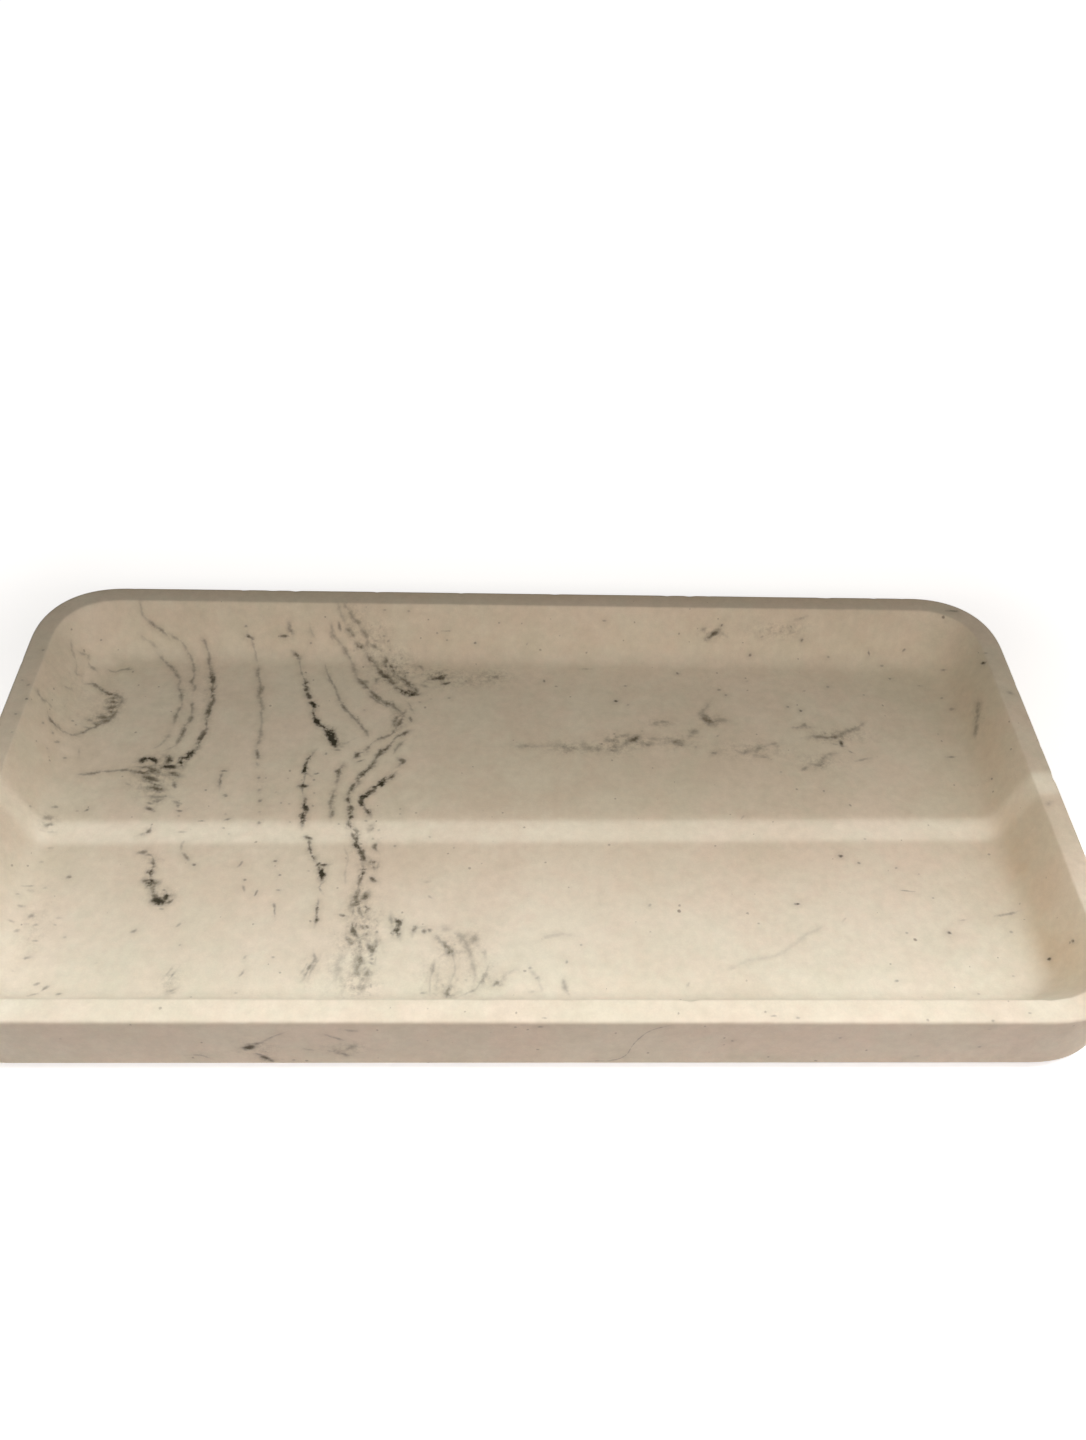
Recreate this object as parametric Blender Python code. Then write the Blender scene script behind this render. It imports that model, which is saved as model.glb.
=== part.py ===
"""A vanity tray cast in one piece, standing on four stick-on pads.

Metres, +Z up. X runs along the tray and -Y is its front. The origin is on the surface that the tray
stands on, under its middle.
"""

import math

import bmesh
import bpy

# The cast tray from outside
TRAY_LENGTH = 0.305
TRAY_WIDTH = 0.160
TRAY_HEIGHT = 0.0205
CORNER_RADIUS = 0.026
WALL_LEAN = 0.0003  # how far the outer wall draws in at its foot, so that it leaves the mould
BASE_EDGE_RADIUS = 0.0015

# The rim and the hollow inside it
RIM_WIDTH = 0.0065
RIM_EDGE_RADIUS = 0.0008
HOLLOW_CORNER_RADIUS = 0.019
HOLLOW_WALL_ANGLE = math.radians(30)  # how far the inner wall leans out from upright
FLOOR_THICKNESS = 0.005
FLOOR_BLEND_RADIUS = 0.007  # the round between the inner wall and the floor
FLOOR_CORNER_RADIUS = 0.013

# The stick-on pads
PAD_DIAMETER = 0.010
PAD_FOOT_DIAMETER = 0.0092
PAD_HEIGHT = 0.0018
PAD_EDGE_RADIUS = 0.0004
PAD_INSET = 0.022  # from the tray's sides to a pad's middle
PAD_SEAT_CLEARANCE = 0.0003

# A corner's curve is a superellipse: a power of 2 is a circle's arc, and more starts to turn sooner
CORNER_POWER = 2.4

# How finely the round stretches are drawn
CORNER_STEPS = 14
EDGE_STEPS = 3
BLEND_STEPS = 8
PAD_SIDES = 40
PAD_EDGE_STEPS = 3
SMOOTH_ANGLE = math.radians(28)

# What follows from the sizes above
TRAY_BASE_Z = PAD_HEIGHT + PAD_SEAT_CLEARANCE
HOLLOW_DEPTH = TRAY_HEIGHT - FLOOR_THICKNESS
QUARTER_TURN = math.pi / 2
WALL_TURN = QUARTER_TURN - HOLLOW_WALL_ANGLE  # between level and the inner wall's slope
BLEND_REACH = FLOOR_BLEND_RADIUS * math.tan(WALL_TURN / 2)
FLOOR_INSET = RIM_WIDTH + HOLLOW_DEPTH * math.tan(HOLLOW_WALL_ANGLE) + BLEND_REACH


def clear_scene():
    for obj in list(bpy.data.objects):
        bpy.data.objects.remove(obj, do_unlink=True)


def material(name, colour, roughness):
    made = bpy.data.materials.new(name)
    made.use_nodes = True
    shader = made.node_tree.nodes["Principled BSDF"]
    shader.inputs["Base Color"].default_value = (*colour, 1.0)
    shader.inputs["Roughness"].default_value = roughness
    shader.inputs["Metallic"].default_value = 0.0
    made.diffuse_color = (*colour, 1.0)
    return made


def turns(start, end, steps):
    """Angles from start to end, both kept."""
    return [start + (end - start) * step / steps for step in range(steps + 1)]


def rounded_outline(inset, corner):
    """The tray's outline drawn in by inset, anticlockwise from above, with this corner radius."""
    power = 2 / CORNER_POWER
    quarter = [
        (corner * math.cos(turn) ** power, corner * math.sin(turn) ** power)
        for turn in turns(0, QUARTER_TURN, CORNER_STEPS)
    ]
    centre_x = TRAY_LENGTH / 2 - inset - corner
    centre_y = TRAY_WIDTH / 2 - inset - corner
    points = []
    for side_x, side_y in ((1, 1), (-1, 1), (-1, -1), (1, -1)):
        arc = quarter if side_x == side_y else quarter[::-1]
        points += [(side_x * (centre_x + x), side_y * (centre_y + y)) for x, y in arc]
    return points


def outer_courses():
    """Courses up the outside, as (inset, height, corner radius), from the base to the rim's top."""
    courses = []
    for turn in turns(-QUARTER_TURN, 0, EDGE_STEPS):
        inset = WALL_LEAN + BASE_EDGE_RADIUS * (1 - math.cos(turn))
        height = BASE_EDGE_RADIUS * (1 + math.sin(turn))
        courses.append((inset, height, CORNER_RADIUS - inset))
    for turn in turns(0, QUARTER_TURN, EDGE_STEPS):
        inset = RIM_EDGE_RADIUS * (1 - math.cos(turn))
        height = TRAY_HEIGHT - RIM_EDGE_RADIUS * (1 - math.sin(turn))
        courses.append((inset, height, CORNER_RADIUS - inset))
    return courses


def hollow_courses():
    """Courses down the inside, as (inset, height, corner radius), from the rim's top to the floor."""
    sections = []
    edge_inset = RIM_WIDTH - RIM_EDGE_RADIUS * math.tan(WALL_TURN / 2)
    for turn in turns(0, WALL_TURN, EDGE_STEPS):
        drop = RIM_EDGE_RADIUS * (1 - math.cos(turn))
        sections.append((edge_inset + RIM_EDGE_RADIUS * math.sin(turn), TRAY_HEIGHT - drop))
    for turn in turns(WALL_TURN, 0, BLEND_STEPS):
        rise = FLOOR_BLEND_RADIUS * (1 - math.cos(turn))
        inset = FLOOR_INSET - FLOOR_BLEND_RADIUS * math.sin(turn)
        sections.append((inset, FLOOR_THICKNESS + rise))
    courses = []
    for inset, height in sections:
        way_in = (inset - RIM_WIDTH) / (FLOOR_INSET - RIM_WIDTH)
        corner = HOLLOW_CORNER_RADIUS + way_in * (FLOOR_CORNER_RADIUS - HOLLOW_CORNER_RADIUS)
        courses.append((inset, height, corner))
    return courses


def next_ring(shell, ring, course):
    """Extrudes a ring's edges and moves the new ring to its course."""
    inset, height, corner = course
    edges = [shell.edges.get(pair) for pair in zip(ring, ring[1:] + ring[:1])]
    grown = set(bmesh.ops.extrude_edge_only(shell, edges=edges)["geom"])
    new_ring = [
        next(edge.other_vert(vert) for edge in vert.link_edges if edge.other_vert(vert) in grown)
        for vert in ring
    ]
    for vert, (x, y) in zip(new_ring, rounded_outline(inset, corner)):
        vert.co = (x, y, height)
    return new_ring


def lofted_shell(courses):
    """A closed mesh that runs through the courses, with a flat face at each end."""
    shell = bmesh.new()
    inset, height, corner = courses[0]
    ring = [shell.verts.new((x, y, height)) for x, y in rounded_outline(inset, corner)]
    shell.faces.new(ring)
    for course in courses[1:]:
        ring = next_ring(shell, ring, course)
    shell.faces.new(ring)
    bmesh.ops.recalc_face_normals(shell, faces=shell.faces)
    return shell


def object_from(shape, name, finish):
    mesh = bpy.data.meshes.new(name)
    shape.to_mesh(mesh)
    shape.free()
    mesh.materials.append(finish)
    mesh.shade_smooth()
    mesh.set_sharp_from_angle(angle=SMOOTH_ANGLE)
    return placed(mesh, name)


def placed(mesh, name):
    obj = bpy.data.objects.new(name, mesh)
    bpy.context.scene.collection.objects.link(obj)
    return obj


def make_tray():
    cast_stone = material("cast_stone", (0.79, 0.72, 0.60), 0.62)
    tray = object_from(lofted_shell(outer_courses() + hollow_courses()), "tray_body", cast_stone)
    tray.location.z = TRAY_BASE_Z
    return tray


def pad_shape():
    """A low round pad, a little narrower at its foot, with its foot's edge rounded."""
    pad = bmesh.new()
    bmesh.ops.create_cone(
        pad,
        cap_ends=True,
        segments=PAD_SIDES,
        radius1=PAD_FOOT_DIAMETER / 2,
        radius2=PAD_DIAMETER / 2,
        depth=PAD_HEIGHT,
    )
    foot_edges = [edge for edge in pad.edges if all(vert.co.z < 0 for vert in edge.verts)]
    bmesh.ops.bevel(
        pad,
        geom=foot_edges,
        affect="EDGES",
        offset=PAD_EDGE_RADIUS,
        segments=PAD_EDGE_STEPS,
        profile=0.5,
        material=-1,
    )
    return pad


def make_pads(tray):
    """Four pads under the base, which share one mesh and belong to the tray."""
    rubber = material("pad_rubber", (0.42, 0.41, 0.38), 0.7)
    mesh = None
    for end, side_y in (("front", -1), ("rear", 1)):
        for side, side_x in (("left", -1), ("right", 1)):
            name = f"pad_{end}_{side}"
            pad = placed(mesh, name) if mesh else object_from(pad_shape(), name, rubber)
            mesh = pad.data
            pad.parent = tray
            pad.location = (
                side_x * (TRAY_LENGTH / 2 - PAD_INSET),
                side_y * (TRAY_WIDTH / 2 - PAD_INSET),
                -PAD_SEAT_CLEARANCE - PAD_HEIGHT / 2,
            )


def main():
    clear_scene()
    make_pads(make_tray())


main()
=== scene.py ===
"""Dresses the vanity tray: cast stone with charcoal marbling, stick-on pads, and a plain pale studio."""

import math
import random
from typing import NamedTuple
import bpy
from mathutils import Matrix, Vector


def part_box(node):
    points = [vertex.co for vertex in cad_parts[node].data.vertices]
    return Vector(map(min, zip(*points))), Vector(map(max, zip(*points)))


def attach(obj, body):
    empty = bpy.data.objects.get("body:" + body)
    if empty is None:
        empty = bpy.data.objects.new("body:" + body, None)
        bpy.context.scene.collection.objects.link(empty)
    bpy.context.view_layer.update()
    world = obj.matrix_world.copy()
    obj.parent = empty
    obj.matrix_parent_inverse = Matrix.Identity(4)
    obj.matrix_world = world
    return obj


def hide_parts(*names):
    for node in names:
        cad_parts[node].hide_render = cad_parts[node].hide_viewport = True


bl_info = {
    "name": "Vanity Tray Dressing",
    "version": (1, 0, 0),
    "blender": (4, 5, 0),
    "location": "3D View > Sidebar > Vanity Tray",
    "description": "Models the marbled cast tray and its pads, and sets the studio around them",
    "category": "Object",
}

import bmesh
import bpy
import numpy as np
from mathutils import Euler, Matrix, Vector, noise
from mathutils.bvhtree import BVHTree
from mathutils.kdtree import KDTree

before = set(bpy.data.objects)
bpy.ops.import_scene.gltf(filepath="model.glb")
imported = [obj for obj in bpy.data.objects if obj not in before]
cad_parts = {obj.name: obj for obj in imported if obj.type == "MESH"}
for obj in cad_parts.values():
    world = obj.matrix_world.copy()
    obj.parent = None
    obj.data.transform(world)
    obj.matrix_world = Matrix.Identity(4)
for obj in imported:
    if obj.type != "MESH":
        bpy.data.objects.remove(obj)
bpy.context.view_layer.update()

MM = 0.001
QUARTER_TURN = math.pi / 2
BODY = "root"
PAD_NODES = ("pad_front_left", "pad_front_right", "pad_rear_left", "pad_rear_right")

# The tray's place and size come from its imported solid
TRAY_LOW, TRAY_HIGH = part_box("tray_body")
TRAY_LENGTH = TRAY_HIGH.x - TRAY_LOW.x
TRAY_WIDTH = TRAY_HIGH.y - TRAY_LOW.y
TRAY_HEIGHT = TRAY_HIGH.z - TRAY_LOW.z
CORNER_POWER = 2.4  # a corner's curve is a superellipse of this power

# The photograph's camera, fitted to the outlines of the rim and the base
PHOTO_WIDTH = 1086
PHOTO_HEIGHT = 1440
FOCAL_PIXELS = 1266.7
SENSOR = 36.0
CLIP_RANGE = (10 * MM, 20.0)
CAMERA_PLACE = Vector((-8.29, -240.81, 288.62)) * MM
CAMERA_PITCH = math.radians(45.364)
CAMERA_YAW = math.radians(3.018)
CAMERA_ROLL = math.radians(2.689)
CAMERA_TURN = (
    Matrix.Rotation(-CAMERA_YAW, 3, "Z")
    @ Matrix.Rotation(QUARTER_TURN - CAMERA_PITCH, 3, "X")
    @ Matrix.Rotation(CAMERA_ROLL, 3, "Z")
)

# How the marbling is laid on the mesh
LINE_LAYERS = 15
MARK_LAYERS = 11
LINE_REACH = 1.9 * MM  # how far from a vein's middle the mesh carries it
MARK_REACH = 1.6 * MM  # how far past a mark's end the mesh carries it
HAZE_REACH = 2.4 * MM  # how far the haze spreads from a vein or mark
CLEARANCE = 1.5 * MM  # past the reach, where the mesh still knows on which side it lies
LINE_TAPER = 0.9 * MM  # over which a vein thins out at each end
FULL_SHARE = 0.70  # of the reach, inside which a vein or mark has its full strength
FAR_AWAY = 9.0  # half widths, where there is no vein or mark
ROUTE_STEP = 1.5  # pixels between the points that are looked up along a route
END_STRENGTH = 0.25  # of a vein's strength is left at its very ends
WIDTH_POWER = 0.6  # how closely a vein's width follows the weights on its route
STRENGTH_POWER = 0.7  # how closely its strength follows them
STRENGTH_LIMIT = 1.15  # of a vein's ink, however high the weight
HAZE_POWER = 1.4  # how quickly the haze thins out
MARK_HAZE = 0.8  # a single mark's haze, beside a vein's
STEEP = 0.5  # a wall's normal rises or falls by less than this
HIDDEN_FROM = -0.6  # the normal's Y where the hidden sides' marbling starts
HIDDEN_RISE = 0.4  # over which it comes to its full strength

# Noise scales of the finishes' patterns, per metre: a larger one lies closer
WANDER_SCALE = 330.0
CLOT_SCALE = 500.0
CRUMBLE_SCALE = 1250.0
DUST_SCALE = 620.0
SLOW_TONE_SCALE = 14.0
TONE_SCALE = 85.0
BLOTCH_SCALE = 270.0
HUE_SCALE = 70.0
PATCH_SCALE = 42.0
STONE_GRAIN_SCALE = 2100.0
RUBBER_GRAIN_SCALE = 2600.0
RUBBER_CLOUD_SCALE = 240.0
SMALL_PIT_SCALE = 330.0
LARGE_PIT_SCALE = 95.0

# How strongly each layer of the cast stone shows
INK_SHARE = 0.97
HAZE_SHARE = 0.72
DUST_SHARE = 0.75
SPECK_SHARE = 0.8
WILD_INK_SHARE = 0.7
WILD_HAZE_SHARE = 0.6
# Share of the warm colour in the patches and in the painted shade on the rear rim and side walls
PAINTED_SHADE_AND_PATCH_SHARE = 0.55
PATCH_SHARE = 0.16
SMALL_PIT_SHARE = 0.45
LARGE_PIT_SHARE = 0.7
PINK_HUE = (1.0, 0.97, 0.955, 1.0)  # the two ends of the stone's slow change of hue
GREEN_HUE = (0.98, 0.995, 0.975, 1.0)

# How rough the surfaces are; a bump has a strength and a distance
STONE_ROUGHNESS = 0.6
RUBBER_ROUGHNESS = 0.7
FILM_ROUGHNESS = 0.55
STONE_BUMP = (0.30, 0.10 * MM)
RUBBER_BUMP = (0.35, 0.05 * MM)
PIT_RISE = -1.6  # a pit's height, where the grain's goes from 0 to 1

# How finely the meshes are drawn
EDGE_STEPS = 3  # faces across the small round of an edge
COURSE_STRETCH = 1.05  # how much longer than the mesh's step a face may be down the sides
FILM_SIDES = 48
FILM_SMOOTH_ANGLE = math.radians(40)
FLOOR_REACH = 3.0  # m, from the studio floor's middle to its sides
FLOOR_CELLS = 8

# How the casting is weathered
SLOW_WAVE = 45 * MM  # length of the slow unevenness
QUICK_WAVE = 9 * MM  # length of the quick unevenness
SLOW_SHARE = 0.8  # of the waviness
QUICK_SHARE = 0.2
CHIP_SEED = 11
CHIP_RADII = (0.7, 2.2)  # mm
CHIP_DEPTHS = (0.25, 1.0)  # share of the depth that the chip's radius allows
CHIPPED_SLOPE = (0.35, 0.92)  # the normal's rise on the rim's edges, where the chips are
CHIPPED_HEIGHT = 1.2 * MM  # how far below the rim's top they reach


class Vein(NamedTuple):
    """A charcoal line: full width in mm, how dark it is, and the pixels it runs through.

    A third number after a pixel is the line's weight there: below 1 it is thinner and paler.
    """

    width: float
    ink: float
    route: tuple


VEINS = {
    # The curtain: three lines that hang on the left
    "curtain_right": Vein(1.5, 0.7, (
        (202, 638, 0.6), (205, 642, 0.5), (207, 648, 0.4), (209, 654, 0.4), (209, 661, 0.6),
        (211, 671, 0.8), (212, 679, 1.3), (213, 684, 1.0), (212, 692, 1.2), (213, 700, 0.8),
        (210, 707, 0.9), (208, 714, 1.1), (207, 720, 0.8), (206, 727, 0.8), (203, 735, 1.1),
        (199, 743, 1.1), (196, 750, 0.7))),
    "curtain_foot": Vein(1.8, 1.0, (
        (197, 749, 0.9), (190, 754, 1.0), (187, 757, 1.1), (182, 760, 1.0), (181, 763, 1.2),
        (182, 767, 1.0))),
    "curtain_middle_top": Vein(1.0, 0.3, ((140, 602), (141, 610), (142, 615), (149, 621))),
    "curtain_middle_head": Vein(1.3, 0.6, (
        (148, 620, 0.6), (153, 625, 1.0), (160, 629, 0.9), (167, 636, 0.7))),
    "curtain_middle": Vein(1.4, 0.5, (
        (171, 635, 0.9), (178, 639, 0.6), (184, 645, 0.5), (189, 653, 0.7), (192, 659, 0.7),
        (194, 667, 0.8), (194, 677, 1.0), (192, 682, 0.9), (195, 687, 0.8), (193, 693, 0.5))),
    "curtain_middle_low": Vein(1.4, 0.55, (
        (192, 703, 0.9), (192, 710, 0.7), (191, 719, 1.0), (187, 723, 0.8), (184, 729, 1.1),
        (182, 735, 1.2), (175, 746, 0.4), (168, 749, 0.6))),
    "curtain_left_top": Vein(1.2, 0.25, ((140, 635), (147, 640), (158, 649))),
    "curtain_left": Vein(1.4, 0.5, (
        (159, 655, 0.6), (166, 663, 0.8), (172, 668, 1.0), (177, 676, 0.9), (180, 681, 0.6),
        (179, 688, 0.8), (181, 692, 1.3), (182, 700, 0.6), (181, 707, 0.8), (179, 710, 0.9),
        (176, 716, 0.9), (174, 723, 0.6))),
    "curtain_left_low": Vein(1.4, 0.4, (
        (169, 734, 1.0), (165, 740, 0.8), (159, 746, 0.6), (154, 748, 0.4))),
    # The swirl beside it
    "swirl_top": Vein(1.4, 0.65, (
        (86, 684, 0.3), (94, 684, 0.7), (100, 689, 0.9), (107, 693, 1.1), (115, 695, 0.9),
        (120, 697, 0.7))),
    "swirl": Vein(1.3, 0.6, (
        (120, 697, 0.35), (122, 701, 0.3), (117, 710, 0.35), (114, 714, 0.8), (109, 720, 0.6),
        (103, 723, 0.8), (96, 726, 1.0), (89, 729, 1.0), (81, 733, 0.9), (74, 735, 0.6), (66, 733, 0.5),
        (59, 729, 1.2), (52, 721, 1.2), (48, 714, 0.3), (47, 708, 0.2))),
    "swirl_left": Vein(1.2, 0.4, ((37, 690, 1.3), (42, 699, 1.0), (47, 702, 0.7), (52, 707, 0.8))),
    "swirl_tie": Vein(1.0, 0.55, (
        (77, 774, 0.4), (88, 774, 1.0), (100, 772, 1.0), (114, 771, 0.7), (127, 770, 1.0),
        (136, 772, 0.6))),
    "left_scribble": Vein(1.3, 0.35, (
        (71, 643, 0.8), (72, 650, 1.0), (74, 656, 0.7), (77, 664, 0.2), (76, 673, 0.7), (81, 676, 0.6))),
    "left_scribble_side": Vein(1.3, 0.4, (
        (80, 652, 1.0), (88, 656, 1.0), (88, 660, 0.2), (89, 665, 0.8), (94, 669, 1.0), (97, 672, 0.4))),
    "left_dash": Vein(1.1, 0.5, (
        (107, 669, 0.5), (114, 672, 0.7), (120, 670, 0.5), (128, 669, 1.2), (132, 670, 0.7))),
    # The knot under the curtain
    "knot_top": Vein(1.5, 0.95, (
        (138, 761, 0.7), (142, 760, 1.1), (147, 759, 1.1), (153, 760, 1.1), (159, 764, 0.9))),
    "knot_right": Vein(1.4, 1.0, ((158, 765, 0.7), (166, 767, 1.1), (170, 768, 1.0), (177, 767, 0.8))),
    "knot_second": Vein(1.4, 0.7, (
        (135, 767, 0.6), (142, 767, 0.9), (148, 767), (151, 769), (160, 773, 0.8))),
    "knot_third": Vein(1.6, 0.75, (
        (131, 771, 0.4), (139, 773, 0.9), (144, 773), (149, 771), (156, 772, 0.8))),
    "knot_fourth": Vein(1.6, 0.75, ((142, 776, 0.9), (147, 778, 1.1), (152, 779, 0.9), (158, 782, 0.7))),
    "knot_fifth": Vein(1.5, 0.65, ((146, 781, 0.8), (152, 783), (157, 785, 1.1), (162, 787, 0.8))),
    "knot_sixth": Vein(1.9, 0.65, ((145, 788, 0.5), (152, 788, 0.8), (157, 789, 1.5), (164, 790, 0.7))),
    "knot_seventh": Vein(1.3, 0.5, ((149, 797, 0.9), (155, 797, 0.8), (162, 797, 0.8), (169, 797, 1.1))),
    "knot_eighth": Vein(1.5, 0.6, ((153, 801, 0.9), (157, 802, 1.0), (163, 799, 0.9))),
    "knot_hook": Vein(1.5, 0.85, ((165, 756, 0.7), (170, 759, 1.1), (165, 763, 1.0))),
    "knot_side": Vein(1.8, 0.85, ((170, 772, 0.7), (173, 775, 1.1), (180, 776, 0.9))),
    "right_column": Vein(1.2, 0.7, ((222, 773, 0.9), (220, 779, 1.0), (219, 788, 0.8))),
    "knot_tail": Vein(1.1, 0.65, ((151, 826, 0.5), (149, 831, 1.1), (145, 833, 1.0), (139, 835, 0.6))),
    # Three falls
    "long_drop": Vein(1.6, 0.5, (
        (258, 667, 0.7), (258, 672, 1.1), (259, 679, 0.8), (261, 687, 0.9), (260, 691, 1.1),
        (260, 698, 0.7), (262, 706, 0.8), (261, 713, 0.6), (262, 719, 0.4), (261, 727, 0.4),
        (260, 735, 0.7), (259, 741, 0.7), (257, 747, 0.4))),
    "long_drop_top": Vein(0.9, 0.3, ((251, 640), (254, 648), (257, 662))),
    "strong_fall_top": Vein(1.6, 0.5, ((288, 622, 0.5), (290, 629, 1.1), (292, 635, 1.0))),
    "strong_fall_neck": Vein(1.3, 0.75, (
        (294, 653, 1.2), (297, 656, 1.1), (300, 659, 0.6), (300, 664, 0.4), (301, 670, 0.4),
        (303, 676, 0.7), (306, 684, 1.3), (307, 692, 1.1))),
    "strong_fall": Vein(1.5, 1.0, (
        (307, 692, 1.1), (310, 698, 0.7), (312, 703, 1.2), (314, 706, 1.2), (313, 710, 0.4),
        (314, 714, 0.9), (315, 718, 1.0), (318, 723, 1.1), (323, 727, 1.0), (328, 729, 1.3))),
    "strong_fall_foot": Vein(2.1, 1.0, (
        (325, 727, 1.0), (329, 731, 1.7), (331, 735, 1.9), (332, 739, 1.7), (335, 743, 1.3),
        (339, 745, 1.3))),
    "strong_fall_tail": Vein(1.3, 0.3, ((339, 745, 1.2), (346, 743, 0.8), (354, 739, 0.5))),
    "thin_fall_top": Vein(1.4, 0.35, ((310, 627), (311, 632), (314, 637, 0.7))),
    "thin_fall": Vein(1.3, 0.6, (
        (325, 664, 0.3), (329, 677, 0.6), (331, 681, 0.9), (335, 688, 0.6), (338, 696, 0.5),
        (341, 703, 1.0), (345, 708, 1.0), (349, 713, 0.6), (355, 719, 1.0), (361, 726, 0.8),
        (367, 733, 0.8), (368, 737, 0.3))),
    # The fan
    "fan_left": Vein(1.8, 0.45, (
        (331, 625, 0.8), (332, 633, 0.8), (335, 639, 0.7), (340, 643, 0.7), (343, 647, 0.9),
        (348, 655, 0.8), (352, 662, 0.4), (354, 668, 0.8), (356, 676, 0.6))),
    "fan_left_low": Vein(1.8, 0.65, (
        (356, 677, 0.5), (361, 682, 0.7), (366, 686, 0.9), (370, 690, 0.9), (373, 694, 0.7),
        (377, 696, 1.2), (381, 700, 1.0), (386, 704, 1.0), (390, 704, 1.3), (393, 706, 0.8),
        (397, 709, 0.8), (402, 712, 0.8), (406, 714, 0.6))),
    "fan_left_edge": Vein(1.1, 0.45, ((369, 695, 0.8), (376, 700), (383, 705, 0.9), (388, 707, 0.5))),
    "fan_inner": Vein(1.6, 0.55, ((347, 627, 0.7), (351, 633, 1.1), (354, 637, 0.9))),
    "fan_inner_low": Vein(1.6, 0.75, ((356, 643, 0.8), (359, 646, 1.1), (363, 649, 0.9))),
    "fan_middle": Vein(1.7, 0.65, (
        (366, 653, 0.4), (371, 660, 0.8), (376, 666, 0.9), (381, 672, 0.9), (386, 677, 1.1),
        (390, 681, 1.1), (395, 685, 0.8))),
    "fan_dark": Vein(2.1, 0.9, (
        (397, 687, 0.9), (400, 690, 1.1), (407, 693, 1.0), (413, 694, 1.4), (420, 694, 0.6))),
    "fan_right_top": Vein(1.6, 0.45, (
        (344, 603, 0.7), (347, 608, 0.5), (350, 612, 0.8), (353, 618, 0.7), (357, 622, 0.9),
        (361, 624, 0.9))),
    "fan_right_top_side": Vein(1.3, 0.25, ((337, 603), (342, 616), (345, 622, 0.7))),
    "fan_cross": Vein(1.8, 0.4, ((362, 629), (365, 633, 1.1), (367, 641, 0.8), (368, 647, 0.9))),
    "fan_upright": Vein(1.6, 0.6, (
        (385, 656, 0.8), (386, 660, 1.0), (385, 665, 1.0), (388, 671, 0.5), (387, 678, 0.9))),
    "fan_right": Vein(1.8, 0.65, (
        (390, 665, 1.0), (393, 670, 1.1), (397, 675, 0.7), (401, 678, 0.5), (405, 681, 0.8),
        (408, 684, 1.0), (411, 686, 1.3), (415, 688, 1.1), (417, 693, 0.8))),
    "fan_hook": Vein(1.2, 0.45, ((380, 678, 0.6), (377, 679, 1.0), (376, 684, 0.9))),
    "fan_drop": Vein(1.1, 0.45, ((408, 703), (410, 705), (413, 711, 0.8))),
    # The stream from the fan to the front
    "node_down": Vein(1.5, 0.7, (
        (405, 713, 1.0), (402, 718, 1.0), (400, 723, 0.9), (396, 728, 0.7), (392, 734, 0.8),
        (388, 736, 1.1), (385, 737, 0.9), (379, 739, 0.6), (371, 744, 0.4), (368, 749, 0.7),
        (365, 752, 0.8), (360, 753, 1.0), (357, 755, 1.5), (354, 758, 0.7))),
    "node_down_side": Vein(1.2, 0.5, ((398, 715), (396, 720), (393, 724, 0.8))),
    "node_left": Vein(2.0, 0.75, (
        (343, 764, 0.4), (341, 768, 0.8), (339, 772, 1.1), (339, 777, 0.7), (337, 784, 0.5))),
    "node_left_low": Vein(1.7, 0.5, ((335, 790), (332, 798), (331, 805), (331, 820, 0.6))),
    "stream_top": Vein(1.4, 0.75, (
        (408, 732, 1.1), (401, 735, 0.8), (397, 737, 0.8), (393, 741, 0.6), (389, 746, 0.7),
        (385, 750, 1.2), (380, 753, 1.0), (377, 756, 0.8), (375, 760, 0.6), (373, 764, 0.9),
        (370, 768, 1.2), (365, 772, 1.5), (361, 776, 0.9), (358, 780, 0.9), (354, 785, 0.9),
        (350, 791, 1.0), (347, 795, 1.1))),
    "stream_top_side": Vein(1.1, 0.45, ((403, 742), (398, 746), (394, 753, 0.7))),
    "stream_top_under": Vein(1.3, 0.35, ((361, 781), (357, 786), (352, 792))),
    "stream_main": Vein(1.6, 0.8, (
        (348, 796, 0.9), (349, 801, 1.2), (350, 805, 0.9), (350, 811, 1.2), (351, 817, 1.2),
        (349, 820, 0.5), (349, 823, 0.8), (350, 827, 1.0), (354, 830, 0.7), (357, 834, 0.9),
        (356, 839, 1.0), (356, 844, 1.5), (358, 847, 1.4), (361, 851, 1.1), (363, 856, 1.0),
        (365, 861, 1.2))),
    "stream_loop": Vein(0.9, 0.65, ((351, 831), (353, 836), (356, 840, 0.8))),
    "stream_lower": Vein(1.4, 0.85, (
        (362, 864, 0.8), (362, 869, 1.1), (363, 872, 1.0), (362, 876, 1.3), (361, 879, 0.7),
        (359, 884, 0.6), (359, 889, 0.8), (360, 892, 0.5), (357, 895, 0.8), (354, 900, 0.7))),
    "stream_knot": Vein(1.8, 0.65, ((351, 907, 0.8), (353, 904, 1.1), (357, 903, 1.4), (361, 900, 0.9))),
    "stream_knot_left": Vein(1.2, 0.55, ((351, 899, 0.8), (351, 904, 1.1), (351, 908, 0.8))),
    "stream_fork": Vein(2.0, 0.75, ((367, 893, 0.9), (365, 898, 1.1), (362, 899, 0.8))),
    "ring": Vein(1.0, 0.75, ((363, 905), (367, 909, 1.1), (365, 914, 0.8))),
    "ring_left": Vein(1.0, 0.55, ((359, 905), (359, 912), (360, 915))),
    "net": Vein(1.2, 0.7, (
        (354, 920, 0.7), (352, 923, 0.9), (353, 928), (354, 933, 1.2), (357, 936, 0.9), (362, 939, 0.9),
        (364, 934, 0.9))),
    "net_side": Vein(1.0, 0.5, ((359, 924), (363, 928), (366, 930))),
    "net_under": Vein(1.4, 0.55, ((346, 936), (348, 941), (355, 944, 0.7))),
    "net_down": Vein(1.6, 0.75, ((359, 941, 1.1), (359, 947, 0.9), (360, 954, 0.6))),
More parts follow.
